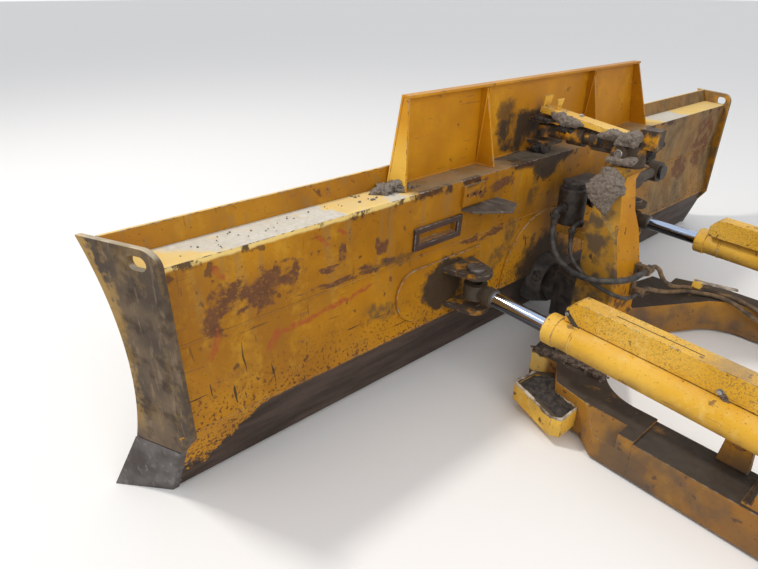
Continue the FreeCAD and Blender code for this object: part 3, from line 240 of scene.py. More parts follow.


# %% [markdown]
# ## Paint that has worked
# The machine's paint is one amber, but no two square metres look the same. Every coat
# here is built in layers, as it happened: sound paint, sun-bleached clouds, fine
# scratches, chips, rust that spreads from them, soil that clings low down, and pale
# dust that settles on whatever faces the sky. Worn edges come from an attribute that
# the rounded edges carry, which is made further down.
# A few layers are painted sunlight and painted shade, laid where the machine stood in sun and in
# shade.

# %% Colours of the blade's materials
AMBER = (0.62, 0.27, 0.004)
AMBER_DEEP = (0.47, 0.185, 0.003)
AMBER_PALE = (0.70, 0.37, 0.020)
# LIT and LIT_PALE are painted sunlight: the amber as it looks in full sun.
LIT = (0.84, 0.50, 0.07)
LIT_PALE = (0.90, 0.68, 0.24)
RUST = (0.088, 0.034, 0.016)
RUST_LIGHT = (0.20, 0.085, 0.035)
OVERSPRAY = (0.36, 0.075, 0.018)
SOIL = (0.075, 0.058, 0.048)
WORN_STEEL = (0.30, 0.28, 0.26)
DUST = (0.52, 0.45, 0.34)
GREASE = (0.012, 0.010, 0.009)


# %% The layered coat of paint
def coat(name, dust=0.35, grime=0.3, chips=0.5, tones=(AMBER_DEEP, AMBER, AMBER_PALE), layers=()):
    """Amber paint. dust, grime and chips run from 0 to 1. Each of the layers is a
    function of the finish that gives (mask, colour, roughness), laid on in order."""
    deep, middle, pale = tones
    f = Finish(name)
    f.shader.inputs["Specular IOR Level"].default_value = 0.25

    clouds = f.noise(2.3, 5)
    fine = f.noise(38, 4)
    streaks = f.noise(9, 4, stretch=(1, 1, 0.12))
    tone = f.colour(clouds.between(0.35, 0.62), deep, middle)
    tone = f.colour((streaks * 0.6 + fine * 0.4).between(0.52, 0.72) * 0.55, tone, pale)
    rough = 0.42 + fine * 0.16
    scratches = f.noise(30, 2, stretch=(0.25, 0.25, 2.2), shift=(3, 1, 0)).between(0.66, 0.72)
    tone = f.colour(scratches * 0.5, tone, RUST_LIGHT)
    speckle = f.noise(150, 2).between(0.70 - 0.06 * chips, 0.76 - 0.06 * chips)
    flakes = f.noise(24, 5, shift=(5, 2, 1)).between(0.66 - 0.05 * chips, 0.70 - 0.05 * chips)
    chipped = speckle.larger(flakes)
    tone = f.colour(chipped * (0.5 + 0.5 * chips), tone, RUST)
    dirt = f.noise(6, 6, shift=(1, 7, 2)).between(0.45, 0.75) * grime
    tone = f.colour(dirt, tone, SOIL)
    rough = rough + dirt * 0.25
    for layer in layers:
        mask, over, roughness = layer(f)
        tone = f.colour(mask, tone, over)
        rough = rough * (1 - mask) + mask * roughness
    worn = f.attribute("edge_wear") * f.noise(45, 4, shift=(2, 2, 8)).between(0.42, 0.60)
    tone = f.colour(worn, tone, f.colour(fine.between(0.4, 0.6), RUST, WORN_STEEL))
    dusty = (f.noise(5, 6, shift=(9, 1, 4)) * 0.7 + fine * 0.3).between(0.32, 0.62)
    settled = f.up.between(0.5, 0.92) * dusty * dust
    tone = f.colour(settled, tone, DUST)
    rough = rough + settled * 0.3
    f.give("Base Color", tone)
    f.give("Roughness", rough)
    f.bump(fine * 0.4 + chipped * -0.8 + dirt * 0.8 + settled * 0.5, 0.0006)
    return f


# %% Patches that lie at a known place on the blade's back
def at(height):
    """A height above the ground as a height in the frame."""
    return height + GROUND


def patch(f, y, height, half_y, half_z, ragged=0.03, turn=0.0, soft=0.35):
    """A ragged spot: 1 in its middle and 0 outside. It lies at y and at a height above the
    ground, and turn is in degrees."""
    z = at(height)
    sway = (f.noise(12, 7, shift=(y, z, 1), roughness=0.68) - 0.5) * (2.6 * ragged)
    sway_too = (f.noise(15, 7, shift=(z, y, 6), roughness=0.68) - 0.5) * (2.6 * ragged)
    cosine, sine = math.cos(math.radians(turn)), math.sin(math.radians(turn))
    across = ((f.y - y) * cosine + (f.z - z) * sine + sway).size() / half_y
    upward = ((f.z - z) * cosine - (f.y - y) * sine + sway_too).size() / half_z
    return (1 - (across * across + upward * upward)).between(0.0, soft)


def patches(f, spots, soft=0.35):
    """Several patches at once. A spot holds patch's numbers from y to ragged, or to turn."""
    return functools.reduce(Wire.larger, [patch(f, *spot, soft=soft) for spot in spots])


def behind(f):
    """1 on whatever doesn't face ahead, so that the back's marks stay off the front."""
    return 1 - f.ahead.between(0.2, 0.5)


# %% Rust, overspray, grease and smudges on the back
def rust_patches(f):
    """Brown places where a panel's old paint has worn through in clouds and smears."""
    mask = patches(f, [
        (1.68, 0.635, 0.075, 0.095, 0.06, 12), (1.55, 0.665, 0.160, 0.075, 0.07, 6),
        (1.44, 0.680, 0.075, 0.055, 0.06, -20), (1.213, 0.690, 0.020, 0.042, 0.018),
        (1.038, 0.672, 0.034, 0.050, 0.03), (1.26, 0.645, 0.070, 0.015, 0.014, 4),
        (1.05, 0.600, 0.130, 0.014, 0.012, 6), (1.19, 0.582, 0.230, 0.013, 0.012, 1),
        (0.45, 0.77, 0.16, 0.035, 0.05), (0.42, 0.55, 0.20, 0.020, 0.03),
        (-1.66, 0.63, 0.15, 0.17, 0.09), (-1.42, 0.50, 0.10, 0.08, 0.06)])
    holes = f.noise(17, 5, shift=(7, 4, 4), stretch=(1, 0.7, 1)).between(0.40, 0.52)
    broken = f.noise(75, 4, shift=(4, 4, 4)).between(0.30, 0.50)
    mask = behind(f) * mask * holes * (0.35 + broken * 0.65)
    return mask, f.mottled(26, 4, RUST, RUST_LIGHT), 0.75


def overspray(f):
    """Thin red-orange streaks where a rag or a spray can once passed."""
    mask = patches(f, [
        (1.66, 0.765, 0.045, 0.011, 0.02, 62), (1.70, 0.525, 0.065, 0.016, 0.02, -58),
        (1.50, 0.470, 0.055, 0.020, 0.02, -50), (1.40, 0.485, 0.13, 0.014, 0.015, -6),
        (1.24, 0.500, 0.10, 0.013, 0.015, -4), (1.30, 0.765, 0.050, 0.013, 0.015, 42),
        (1.215, 0.770, 0.030, 0.010, 0.012, 40), (1.13, 0.515, 0.07, 0.012, 0.014, -10)], soft=0.7)
    thin = f.noise(60, 3, shift=(8, 8, 1)).between(0.35, 0.6)
    return behind(f) * mask * (0.25 + 0.6 * thin), OVERSPRAY, 0.5


def grease_spots(f):
    """Black grease flung and wiped round the pins, the ball and the top link."""
    mask = patches(f, [
        (0.715, 0.40, 0.14, 0.11, 0.06), (0.665, 0.47, 0.10, 0.06, 0.05),
        (0.02, 0.27, 0.26, 0.19, 0.08), (0.19, 0.93, 0.19, 0.15, 0.06),
        (0.04, 0.86, 0.20, 0.10, 0.06), (0.07, 0.79, 0.10, 0.09, 0.06),
        (-0.632, 0.40, 0.15, 0.12, 0.05), (-0.79, 0.62, 0.12, 0.10, 0.04)], soft=0.5)
    return behind(f) * mask * 0.93, f.mottled(30, 5, GREASE, (0.045, 0.036, 0.028)), 0.62


def smudges(f):
    """Faint dark wipes on the back between the pocket and the tower."""
    mask = patches(f, [
        (0.27, 0.50, 0.05, 0.12, 0.05, 24), (0.14, 0.66, 0.05, 0.09, 0.05, 10),
        (0.36, 0.42, 0.10, 0.05, 0.05, -30), (1.05, 0.40, 0.10, 0.05, 0.05, 20),
        (0.98, 0.585, 0.16, 0.025, 0.05, 3), (-0.30, 0.60, 0.20, 0.14, 0.05)], soft=1.0)
    broken = f.noise(40, 5, shift=(2, 6, 1)).between(0.35, 0.6)
    return behind(f) * mask * (0.25 + 0.45 * broken), (0.07, 0.05, 0.03), 0.65


# %% The scraped foot, and the far third
def scraped_foot_and_painted_shade(f):
    """The lowest 265 mm, where soil has taken the paint and browned the steel; its dark browns are
    partly painted shade.
    """
    kept = f.y.between(1.52, 1.82) * 0.15
    ragged = (f.noise(30, 6, shift=(0, 3, 3), roughness=0.75) - 0.5) * (0.035 + kept * 2.4)
    mask = 1 - (f.z + kept + ragged).between(at(0.250), at(0.266))
    streaks = f.noise(12, 6, stretch=(1, 0.25, 1.6), shift=(3, 0, 1)).between(0.36, 0.64)
    return mask * 0.97, f.colour(streaks, (0.026, 0.018, 0.015), (0.072, 0.050, 0.041)), 0.62


def peppered(f):
    """Small dark chips that crowd together towards the foot."""
    low = 1 - f.rise(0.26, 0.50)
    crowd = (1 - f.rise(0.10, 0.40)) * 0.05
    dots = (f.noise(85, 3, shift=(6, 1, 2)) + crowd).between(0.57, 0.63)
    return dots * low * 0.85, RUST, 0.7


def dull_right(f):
    """The far third, browner and greyer from lying against soil."""
    away = 1 - f.y.between(-1.15, -0.70)
    cloud = f.noise(4, 6, shift=(2, 9, 9), stretch=(1, 1, 0.6)).between(0.25, 0.65)
    runs = f.noise(13, 7, shift=(2, 3, 9), stretch=(1, 1, 0.6), roughness=0.7).between(0.30, 0.70)
    tan = f.colour(runs, (0.085, 0.062, 0.038), (0.235, 0.170, 0.095))
    return away * (0.50 + 0.40 * cloud) * (1 - f.up.between(0.3, 0.6)), tan, 0.8


# %% The flat top, the front and the rim
def flat_top(f):
    """1 on the flat top of the blade's box and on whatever lies flat above it."""
    return f.up.between(0.75, 0.95) * f.rise(0.80, 0.82)


def dusty_top(f):
    """Pale dust and dried splashes on the box's top, thickest towards the left end."""
    flat = flat_top(f) * (1 - f.rise(0.84, 0.86))
    sway = (f.noise(9, 7, shift=(4, 2, 2), roughness=0.7) - 0.5) * 0.28
    left_end = (f.y + sway * 0.6 - (f.x - 2.35) * 1.1).between(1.70, 1.76)
    left = (f.y + sway).between(0.90, 0.94) * (1 - left_end)
    bare = patch(f, 1.10, 0.827, 0.12, 0.5, 0.06)
    right_patch = patch(f, -1.19, 0.827, 0.16, 0.5, 0.08)
    ground = f.noise(16, 7, shift=(2, 2, 2), roughness=0.65).between(0.26, 0.46)
    mask = flat * ((left * (1 - bare * 0.9)).larger(right_patch)) * (0.35 + 0.65 * ground)
    return mask, f.mottled(70, 5, (0.44, 0.40, 0.33), (0.78, 0.74, 0.66)), 0.9


def painted_sunlit_top(f):
    """Painted sunlight: yellower amber on the flat top outside the guard, where it lies open to the
    sky.
    """
    return flat_top(f) * f.y.size().between(0.86, 0.92) * 0.9, f.mottled(14, 5, LIT, LIT_PALE), 0.6


def scoured_front(f):
    """The face that soil rolls up, worn through to satin steel in long level clouds."""
    cloud = f.noise(4, 7, stretch=(1, 0.30, 1), shift=(4, 4, 9), roughness=0.65) - f.z * 0.10
    bare = f.colour(f.noise(24, 5, stretch=(1, 0.2, 1)), (0.085, 0.062, 0.045), (0.25, 0.20, 0.155))
    return f.ahead.between(0.25, 0.6) * cloud.between(0.44, 0.56) * 0.9, bare, 0.48


def dust_and_painted_shade_top(f):
    """Painted shade of the spill guard with an olive film of dust on the flat top behind it."""
    flat = flat_top(f) * (1 - f.y.size().between(0.84, 0.90))
    thin = f.noise(8, 6, shift=(1, 1, 3)).between(0.35, 0.6)
    return flat * (0.35 + 0.45 * thin), (0.225, 0.155, 0.060), 0.85


def painted_sunlit_fold(f):
    """Painted sunlight on the top rim of the back, where the sun reaches over it."""
    ragged = (f.noise(20, 5, shift=(2, 5, 3)) - 0.5) * 0.016
    band = (f.z + ragged).between(at(0.806), at(0.816)) * (1 - f.rise(0.829, 0.836))
    return band * f.y.between(0.86, 0.92) * (1 - f.x.between(2.285, 2.30)) * 0.85, LIT_PALE, 0.5


def chipped_rim(f):
    """The top rim of the back, knocked bare and smudged in short lengths."""
    ragged = (f.noise(28, 6, shift=(2, 7, 3), roughness=0.7) - 0.5) * 0.07
    band = (f.z + ragged).between(at(0.790), at(0.812)) * (1 - f.rise(0.829, 0.836))
    knocks = f.noise(9, 6, shift=(3, 3, 9), stretch=(1, 1, 0.5), roughness=0.65).between(0.51, 0.56)
    near = 1 - f.x.between(2.285, 2.30)
    return band * knocks * near * 0.92, f.mottled(50, 3, GREASE, RUST), 0.65


# %% Runs and scratches, and the blade's coat
def dribbles(f):
    """Thin grey runs of old rain below the top rim."""
    run = f.noise(26, 3, stretch=(1, 1, 0.05), shift=(6, 6, 6)).between(0.56, 0.66)
    return run * f.rise(0.30, 0.80) * 0.30, (0.24, 0.16, 0.07), 0.7


def scrapes(f):
    """Short black scratches that lie at every slant, mostly low down."""
    slanted = f.noise(16, 2, stretch=(1, 3.2, 0.35), shift=(1, 8, 3)).between(0.700, 0.716)
    level = f.noise(16, 2, stretch=(1, 0.3, 4.0), shift=(5, 8, 3)).between(0.705, 0.722)
    fewer = 1 - f.rise(0.40, 0.62) * 0.7
    return slanted.larger(level) * fewer * 0.9, (0.035, 0.022, 0.014), 0.6


# Darker amber for the blade: partly grime, and partly painted shade over its back.
dirt_and_painted_shade_tones = ((0.34, 0.135, 0.003), (0.49, 0.212, 0.004), (0.58, 0.300, 0.018))
blade_coat = coat("blade_coat", dust=0.30, grime=0.16, chips=0.45, tones=dirt_and_painted_shade_tones, layers=(
    dull_right, dribbles, rust_patches, overspray, scrapes, peppered, smudges, scraped_foot_and_painted_shade,
    scoured_front, dust_and_painted_shade_top, grease_spots, painted_sunlit_fold, chipped_rim, painted_sunlit_top, dusty_top))


# %% Soil, grime and painted shade on the frame and the tower
def low_soil(f):
    """Brown soil that clings to the frame, thicker lower down."""
    mask = (1 - f.rise(0.05, 0.30)) * 0.55 + f.noise(5, 6).between(0.42, 0.66) * 0.5
    return mask.smaller(0.85), f.mottled(30, 5, SOIL, (0.13, 0.10, 0.075)), 0.85


def tower_grime_and_painted_shade(f):
    """A dull, scuffed left flank, partly grime and partly painted shade; a dark front; and a dark
    worn line along the corner.
    """
    flank = f.left.between(0.45, 0.75)
    cloud = f.noise(13, 6, shift=(4, 1, 1)).between(0.40, 0.60)
    front = f.ahead.between(0.4, 0.7) * f.noise(9, 5, shift=(1, 1, 5)).between(0.25, 0.5)
    tone = f.colour(cloud, (0.30, 0.205, 0.045), (0.085, 0.070, 0.050))
    wander = (f.noise(30, 4) - 0.5) * 0.012
    off = ((f.x - 1.989) * 0.778 - (f.z - at(0.680)) * 0.629 + wander).size()
    kept = f.left.between(0.1, 0.3) * f.noise(24, 4, shift=(3, 3, 3)).between(0.40, 0.48)
    line = (1 - off.between(0.005, 0.009)) * kept
    return (flank * (0.45 + 0.45 * cloud)).larger(front * 0.85).larger(line * 0.9), tone, 0.72


def tower_splashes(f):
    """Brown splashes low on the tower, and black ones below its head."""
    low = 1 - f.rise(0.18, 0.46)
    splash = f.noise(20, 6, shift=(9, 1, 2)).between(0.50, 0.60) * low
    scratch = f.noise(22, 4, stretch=(1.3, 1.3, 0.5), shift=(9, 4, 2)).between(0.66, 0.69)
    head = f.rise(0.74, 0.90) * f.noise(26, 5, shift=(2, 2, 3)).between(0.42, 0.55)
    mask = splash.larger(scratch).larger(head) * 0.85
    return mask, f.mottled(30, 3, GREASE, (0.11, 0.075, 0.045)), 0.75


# %% Marks on the guard, the cylinders and the joints
def guard_grease(f):
    """Grease on the spill guard's back, behind the top link's clevis."""
    near = patch(f, 0.10, 0.91, 0.18, 0.12, 0.06, soft=0.45)
    smoke = patch(f, 0.22, 1.00, 0.07, 0.10, 0.06, soft=0.9) * 0.8
    near = near.larger(patch(f, 0.19, 0.94, 0.11, 0.09, 0.06, soft=0.6))
    broken = f.noise(9, 7, shift=(7, 2, 2), stretch=(1, 1, 0.6), roughness=0.65).between(0.38, 0.54)
    mask = behind(f) * near.larger(smoke) * (0.30 + 0.64 * broken)
    return mask, f.mottled(30, 4, GREASE, (0.04, 0.034, 0.028)), 0.6


def flecks_and_browner_belly(f):
    """Brown flecks over a barrel, and a browner tone that grows from its side down to its belly."""
    belly = 1 - f.up.between(-0.55, 0.45)
    fleck = f.noise(170, 3, shift=(4, 1, 7)).between(0.62, 0.70)
    cloud = f.noise(12, 6, shift=(3, 7, 1)).between(0.35, 0.65)
    return (fleck * 0.35).larger(belly * (0.25 + 0.45 * cloud)), (0.22, 0.125, 0.045), 0.7


def sunlit_ribs(f):
    """Painted sunlight: yellower amber on the outer side of the guard's left end rib."""
    return f.left.between(0.4, 0.7) * f.y.between(0.84, 0.88) * 0.9, LIT, 0.5


def brown_top(f):
    """Dried splashes over a cover's rear end."""
    rear = (1 - f.x.between(1.10, 1.45)) * f.up.between(0.4, 0.8)
    return rear * f.noise(10, 6).between(0.38, 0.60) * 0.8, (0.26, 0.19, 0.13), 0.9


def smeared(f):
    """Black grease and mud over most of a joint, with paint left on its high places."""
    mask = f.noise(15, 6, shift=(5, 5, 1)).between(0.34, 0.50)
    return mask * 0.97, f.mottled(34, 5, GREASE, (0.085, 0.068, 0.055)), 0.62


def speckled(f):
    """Fine brown flecks and bare pinholes over a cover's paint."""
    fleck = f.noise(190, 3, shift=(1, 1, 7)).between(0.50, 0.62)
    cloud = f.noise(11, 5, shift=(3, 2, 1)).between(0.35, 0.70)
    return fleck * (0.30 + 0.40 * cloud), (0.22, 0.135, 0.055), 0.7


# %% Soil on the deck, and the coats of the frame, guard and cylinders
def deck_soil(f):
    """Dark trodden soil on whatever is flat and low, with a few rubbed yellow places."""
    flat = f.up.between(0.6, 0.85) * (1 - f.rise(0.20, 0.24))
    mask = flat * f.noise(8, 6, shift=(8, 8, 8)).between(0.28, 0.40) * 0.95
    return mask, f.mottled(28, 5, (0.018, 0.016, 0.015), (0.066, 0.054, 0.045)), 0.88


def painted_sunlit_heel(f):
    """Painted sunlight on the sloping facet at the heel and on the corner ahead of it."""
    slope = f.up.between(0.12, 0.25) * (1 - f.up.between(0.70, 0.85))
    heel = f.x.between(1.60, 1.62) * (1 - f.x.between(1.74, 1.77)) * f.rise(0.05, 0.08)
    corner = patch(f, 0.53, 0.115, 0.06, 0.045, 0.03) * f.x.between(1.85, 1.88)
    mask = (slope * heel * f.y.size().between(0.58, 0.62)).larger(corner)
    # Painted sunlight on the heel's facets.
    rubbed = mask * f.noise(16, 5, shift=(5, 5, 9)).between(0.28, 0.42)
    return rubbed, f.mottled(30, 4, LIT, LIT_PALE), 0.5


# Painted sunlight: the amber as it looks in full sun, for the pad, the covers, the barrels and the
# bar.
painted_sunlit_tones = ((0.72, 0.38, 0.02), LIT, LIT_PALE)
frame_coat = coat("frame_coat", dust=0.04, grime=0.35, chips=0.6,
                  layers=(low_soil, deck_soil, painted_sunlit_heel))
pad_coat = coat("pad_coat", dust=0.02, grime=0.34, chips=0.7, tones=painted_sunlit_tones, layers=(deck_soil,))
tower_coat = coat("tower_coat", dust=0.20, grime=0.10, chips=0.55,
                  layers=(tower_grime_and_painted_shade, tower_splashes))
guard_coat = coat("guard_coat", dust=0.25, grime=0.06, chips=0.12,
                  layers=(guard_grease, sunlit_ribs))
cover_coat = coat("cover_coat", dust=0.18, grime=0.05, chips=0.5, tones=painted_sunlit_tones,
                  layers=(speckled, brown_top))
barrel_coat = coat("barrel_coat", dust=0.15, grime=0.06, chips=0.4, tones=painted_sunlit_tones,
                   layers=(flecks_and_browner_belly,))
bar_coat = coat("bar_coat", dust=0.30, grime=0.12, chips=0.6, tones=painted_sunlit_tones)
rusted = ((0.060, 0.034, 0.026), (0.105, 0.060, 0.042), (0.34, 0.17, 0.02))
pocket_coat = coat("pocket_coat", dust=0.2, grime=0.4, chips=1.0, tones=rusted)
joint_coat = coat("joint_coat", dust=0.15, grime=0.2, chips=0.8, layers=(smeared,))

# %% [markdown]
# ## Bare steel, chrome, grease, rubber and mud
# Steel that soil has polished is brown and satin, with fine scratches the way the soil
# flows. Chrome is almost a mirror. Grease with dust in it is black and only half glossy,
# and mud is the roughest and palest of them all.

# %% Other finishes
def steel(name, dark, light, along=(1, 0.08, 1), roughness=0.42, scratch=(0.42, 0.40, 0.38),
          soiled=0.75):
    """Satin steel with scratches drawn out along one direction."""
    f = Finish(name, metallic=0.75, roughness=roughness)
    grain = f.noise(60, 3, stretch=along)
    blotch = f.noise(7, 6)
    tone = f.colour(blotch.between(0.38, 0.66), dark, light)
    tone = f.colour(grain.between(0.55, 0.68) * 0.5, tone, scratch)
    soil = f.noise(16, 6, shift=(3, 3, 1)).between(0.50, 0.66)
    tone = f.colour(soil * soiled, tone, SOIL)
    f.give("Base Color", tone)
    f.give("Metallic", 0.75 - soil * 0.7)
    f.give("Roughness", roughness + grain * 0.15 + soil * 0.3)
    f.bump(grain * 0.5 + soil * 0.6, 0.0005)
    return f


edge_steel = steel("edge_steel", (0.12, 0.085, 0.068), (0.22, 0.18, 0.15))
bit_steel = steel("bit_steel", (0.080, 0.067, 0.062), (0.165, 0.148, 0.142), along=(0.5, 1, 0.5),
                  scratch=(0.26, 0.24, 0.23))
pin_steel = steel("pin_steel", (0.10, 0.085, 0.075), (0.24, 0.22, 0.20))
shelf_steel = steel("shelf_steel", (0.13, 0.105, 0.085), (0.24, 0.20, 0.165), along=(0.1, 1, 1),
                    roughness=0.6)

end_plate = steel("end_plate_steel", (0.088, 0.062, 0.043), (0.180, 0.124, 0.074),
                  along=(1, 1, 0.2), roughness=0.55, scratch=(0.30, 0.22, 0.14), soiled=0.35)
f = end_plate
base = Wire(f, f.shader.inputs["Base Color"].links[0].from_socket)
flow = (f.noise(10, 5, stretch=(1, 1, 0.25), shift=(1, 5, 5)) * 0.75 + f.noise(50, 3) * 0.25)
front = (f.x + 0.16 * (f.noise(7, 7, shift=(3, 3, 2), roughness=0.7) - 0.5)).between(2.375, 2.455)
kept_paint = (flow + front * 0.10).between(0.49, 0.57) * f.rise(0.20, 0.34) * (0.22 + 0.78 * front)
inner = 1 - (f.left * f.y).between(-1.35, -1.05)
aged = f.colour(f.noise(12, 5).between(0.4, 0.6), AMBER, (0.26, 0.15, 0.05))
tone = f.colour(kept_paint * 0.80, base, (0.50, 0.31, 0.09))
tone = f.colour(f.up.between(0.35, 0.75) * 0.7, tone, (0.55, 0.47, 0.34))
f.give("Base Color", f.colour(inner * 0.85, tone, aged))
f.give("Metallic", 0.6 - inner * 0.6)


def plain(name, low, high, scale, roughness, depth, metallic=0.0, coat_weight=0.0):
    """Two tones clouded together, with a bump of the same clouds."""
    f = Finish(name, metallic=metallic, roughness=roughness)
    cloud = f.noise(scale, 6)
    f.give("Base Color", f.colour(cloud.between(0.32, 0.68), low, high))
    f.give("Roughness", roughness + (cloud - 0.5) * 0.2)
    f.give("Coat Weight", coat_weight)
    f.bump(cloud + f.noise(scale * 7, 3) * 0.3, depth)
    return f


greasy = plain("greasy_iron", (0.014, 0.011, 0.010), (0.065, 0.052, 0.042), 26, 0.58, 0.004)
rubber = plain("hose_rubber", (0.016, 0.015, 0.015), (0.085, 0.072, 0.060), 40, 0.62, 0.0008)
mud = plain("dried_mud", (0.150, 0.122, 0.098), (0.27, 0.225, 0.185), 90, 0.95, 0.006)
dark_mud = plain("greasy_mud", (0.012, 0.010, 0.009), (0.070, 0.056, 0.046), 50, 0.85, 0.006)
soil = plain("loose_soil", (0.050, 0.034, 0.026), (0.20, 0.145, 0.105), 60, 0.95, 0.006)
zinc = plain("bolt_zinc", (0.22, 0.215, 0.21), (0.46, 0.46, 0.46), 60, 0.42, 0.0004, metallic=0.8)
torn_steel = plain("torn_steel", (0.10, 0.065, 0.035), (0.60, 0.52, 0.42), 24, 0.6, 0.003)
line_paint = plain("line_paint", (0.045, 0.034, 0.028), (0.24, 0.15, 0.07), 18, 0.75, 0.0012)

chrome = Finish("chrome", metallic=1.0, roughness=0.10)
f = chrome
bare = (f.x.between(1.46, 1.47)) * (1 - f.x.between(2.055, 2.066))
smear = f.noise(30, 4, stretch=(0.2, 1, 1)).between(0.55, 0.75)
# Painted reflection: the bare rods are pale sky blue on their upper side and dark on their lower
# side, as if they mirrored the sky and the ground.
painted_reflection = f.colour(f.up.between(-0.25, 0.45), (0.085, 0.080, 0.085), (0.42, 0.50, 0.66))
greased = f.mottled(26, 5, (0.020, 0.016, 0.013), (0.10, 0.07, 0.04))
f.give("Base Color", f.colour(bare, greased, f.colour(smear * 0.35, painted_reflection, (0.16, 0.14, 0.12))))
f.give("Metallic", bare)
f.give("Roughness", 0.62 - bare * 0.50 + smear * bare * 0.15)

# %% [markdown]
# ## Softened edges
# A torch-cut plate has no knife edge: it is rounded by a few millimetres, catches the
# light there, and loses its paint there first. Each steel solid is copied, its loose
# triangles are merged, and its sharp edges get a narrow bevel. The bevel's middle
# points carry the value 1 in an attribute and its rims carry 0, so wear stays on it.

# %% Rounded copies of the steel solids
ONE_POINT = 0.00002  # metres: corners that lie closer are merged
COPLANAR, SHARP, CREASED = (math.radians(angle) for angle in (1.5, 30, 50))


def worn_copy(node, width, finish):
    """A copy of a CAD solid with bevelled edges and the attribute edge_wear."""
    shell = bmesh.new()
    shell.from_mesh(frame["nodes"][node].data)
    bmesh.ops.remove_doubles(shell, verts=shell.verts, dist=ONE_POINT)
    bmesh.ops.dissolve_limit(shell, angle_limit=COPLANAR, verts=shell.verts, edges=shell.edges)
    sharp = [edge for edge in shell.edges
             if len(edge.link_faces) == 2 and edge.calc_face_angle(0) > SHARP]
    middle = set()
    if len(sharp) and width:
        made = bmesh.ops.bevel(shell, geom=sharp, offset=width, offset_type="OFFSET", segments=3,
                               profile=0.5, affect="EDGES", clamp_overlap=True)
        strip = set(made["faces"])
        middle = {vert for vert in made["verts"] if strip.issuperset(vert.link_faces)}
    wear = np.array([vert in middle for vert in shell.verts], np.float32)
    bmesh.ops.triangulate(shell, faces=[face for face in shell.faces if len(face.verts) > 4])
    mesh = bpy.data.meshes.new(node + "_worn")
    shell.to_mesh(mesh)
    shell.free()
    mesh.attributes.new("edge_wear", "FLOAT", "POINT").data.foreach_set("value", wear)
    mesh.shade_smooth()
    mesh.set_sharp_from_angle(angle=CREASED)
    piece = add_object(node + "_worn", mesh)
    even = piece.modifiers.new("even", "WEIGHTED_NORMAL")
    even.keep_sharp = True
    mesh.materials.append(finish.material)
    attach(piece, BODY_OF[node])
    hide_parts(node)
    return piece


WORN = [
    # nodes, bevel in metres, finish
    (("moldboard", "upper_back_box", "lower_back_box", "clevis_doublers", "centre_doubler",
      "bolt_plate", "skirt"), 0.003, blade_coat),
    (("pocket_frame",), 0.003, pocket_coat),
    (("left_clevis", "right_clevis", "top_link_clevis", "link_knuckle", "top_link", "tilt_barrel"),
     0.002, joint_coat),
    (("spill_guard", "spill_guard_gussets"), 0.002, guard_coat),
    (("left_end_plate", "right_end_plate"), 0.004, end_plate),
    (("left_end_bit", "right_end_bit"), 0.004, bit_steel),
    (("cutting_edge_left", "cutting_edge_centre", "cutting_edge_right"), 0.003, edge_steel),
    (("cross_member", "left_arm", "right_arm", "left_cylinder_bracket", "right_cylinder_bracket",
      "lift_eyes"), 0.004, frame_coat),
    (("left_corner_guard", "right_corner_guard"), 0.002, pad_coat),
    (("tower",), 0.004, tower_coat),
    (("left_cylinder_cover", "right_cylinder_cover"), 0.003, cover_coat),
    (("left_angle_barrel", "right_angle_barrel"), 0.002, barrel_coat),
    (("top_link_guard",), 0.002, bar_coat),
    (("step_plate",), 0.002, shelf_steel),
    (("left_blade_pin", "right_blade_pin"), 0.002, pin_steel),
    (("blade_socket", "nose_socket", "swivel_drum", "swivel_arm", "tilt_stud", "centre_ball"),
     0.003, greasy),
    (("left_angle_rod", "right_angle_rod", "tilt_rod"), 0.001, chrome),
    (("steel_lines",), 0.0, line_paint),
]
worn = {}
for nodes, width, finish in WORN:
    for node in nodes:
        worn[node] = worn_copy(node, width, finish)
print(len(worn), "solids rounded")
for piece in (thick_hose, thin_hose):
    piece.data.materials.append(rubber.material)

# %% [markdown]
# ## Closed skins
# Mud, weld beads, nuts and torn rims are all closed skins: a grid of points whose rows
# are rings. Each ring is joined to the next, and a fan closes the first and the last.
# The signed volume of the result says whether its faces look outwards.

# %% Skins from grids of rings
def from_blade(points):
    """Millimetres from the middle of the blade's foot, as metres in the frame."""
    return (np.asarray(points, float) + (2350, 0, -420)) / 1000


def closed(grid):
    """The points, quads and end triangles of a closed skin over grid[ring, around]."""
    rings, around = grid.shape[:2]
    points = np.vstack([grid.reshape(-1, 3), grid[0].mean(0), grid[-1].mean(0)])
    i, j = np.meshgrid(np.arange(rings - 1), np.arange(around), indexing="ij")
    after = (j + 1) % around
    low, high = i * around, (i + 1) * around
    quads = np.stack([low + j, low + after, high + after, high + j], -1).reshape(-1, 4)
    ring, turn = np.arange(around), (np.arange(around) + 1) % around
    last = (rings - 1) * around
    first_fan = np.stack([np.full(around, rings * around), turn, ring], -1)
    last_fan = np.stack([np.full(around, rings * around + 1), last + ring, last + turn], -1)
    fans = np.vstack([first_fan, last_fan])
    a, b, c, d = (points[quads[:, k]] for k in range(4))
    p, q, r = (points[fans[:, k]] for k in range(3))
    volume = (a * np.cross(b, c)).sum() + (a * np.cross(c, d)).sum() + (p * np.cross(q, r)).sum()
    if volume < 0:
        quads, fans = quads[:, ::-1], fans[:, ::-1]
    return points, quads, fans


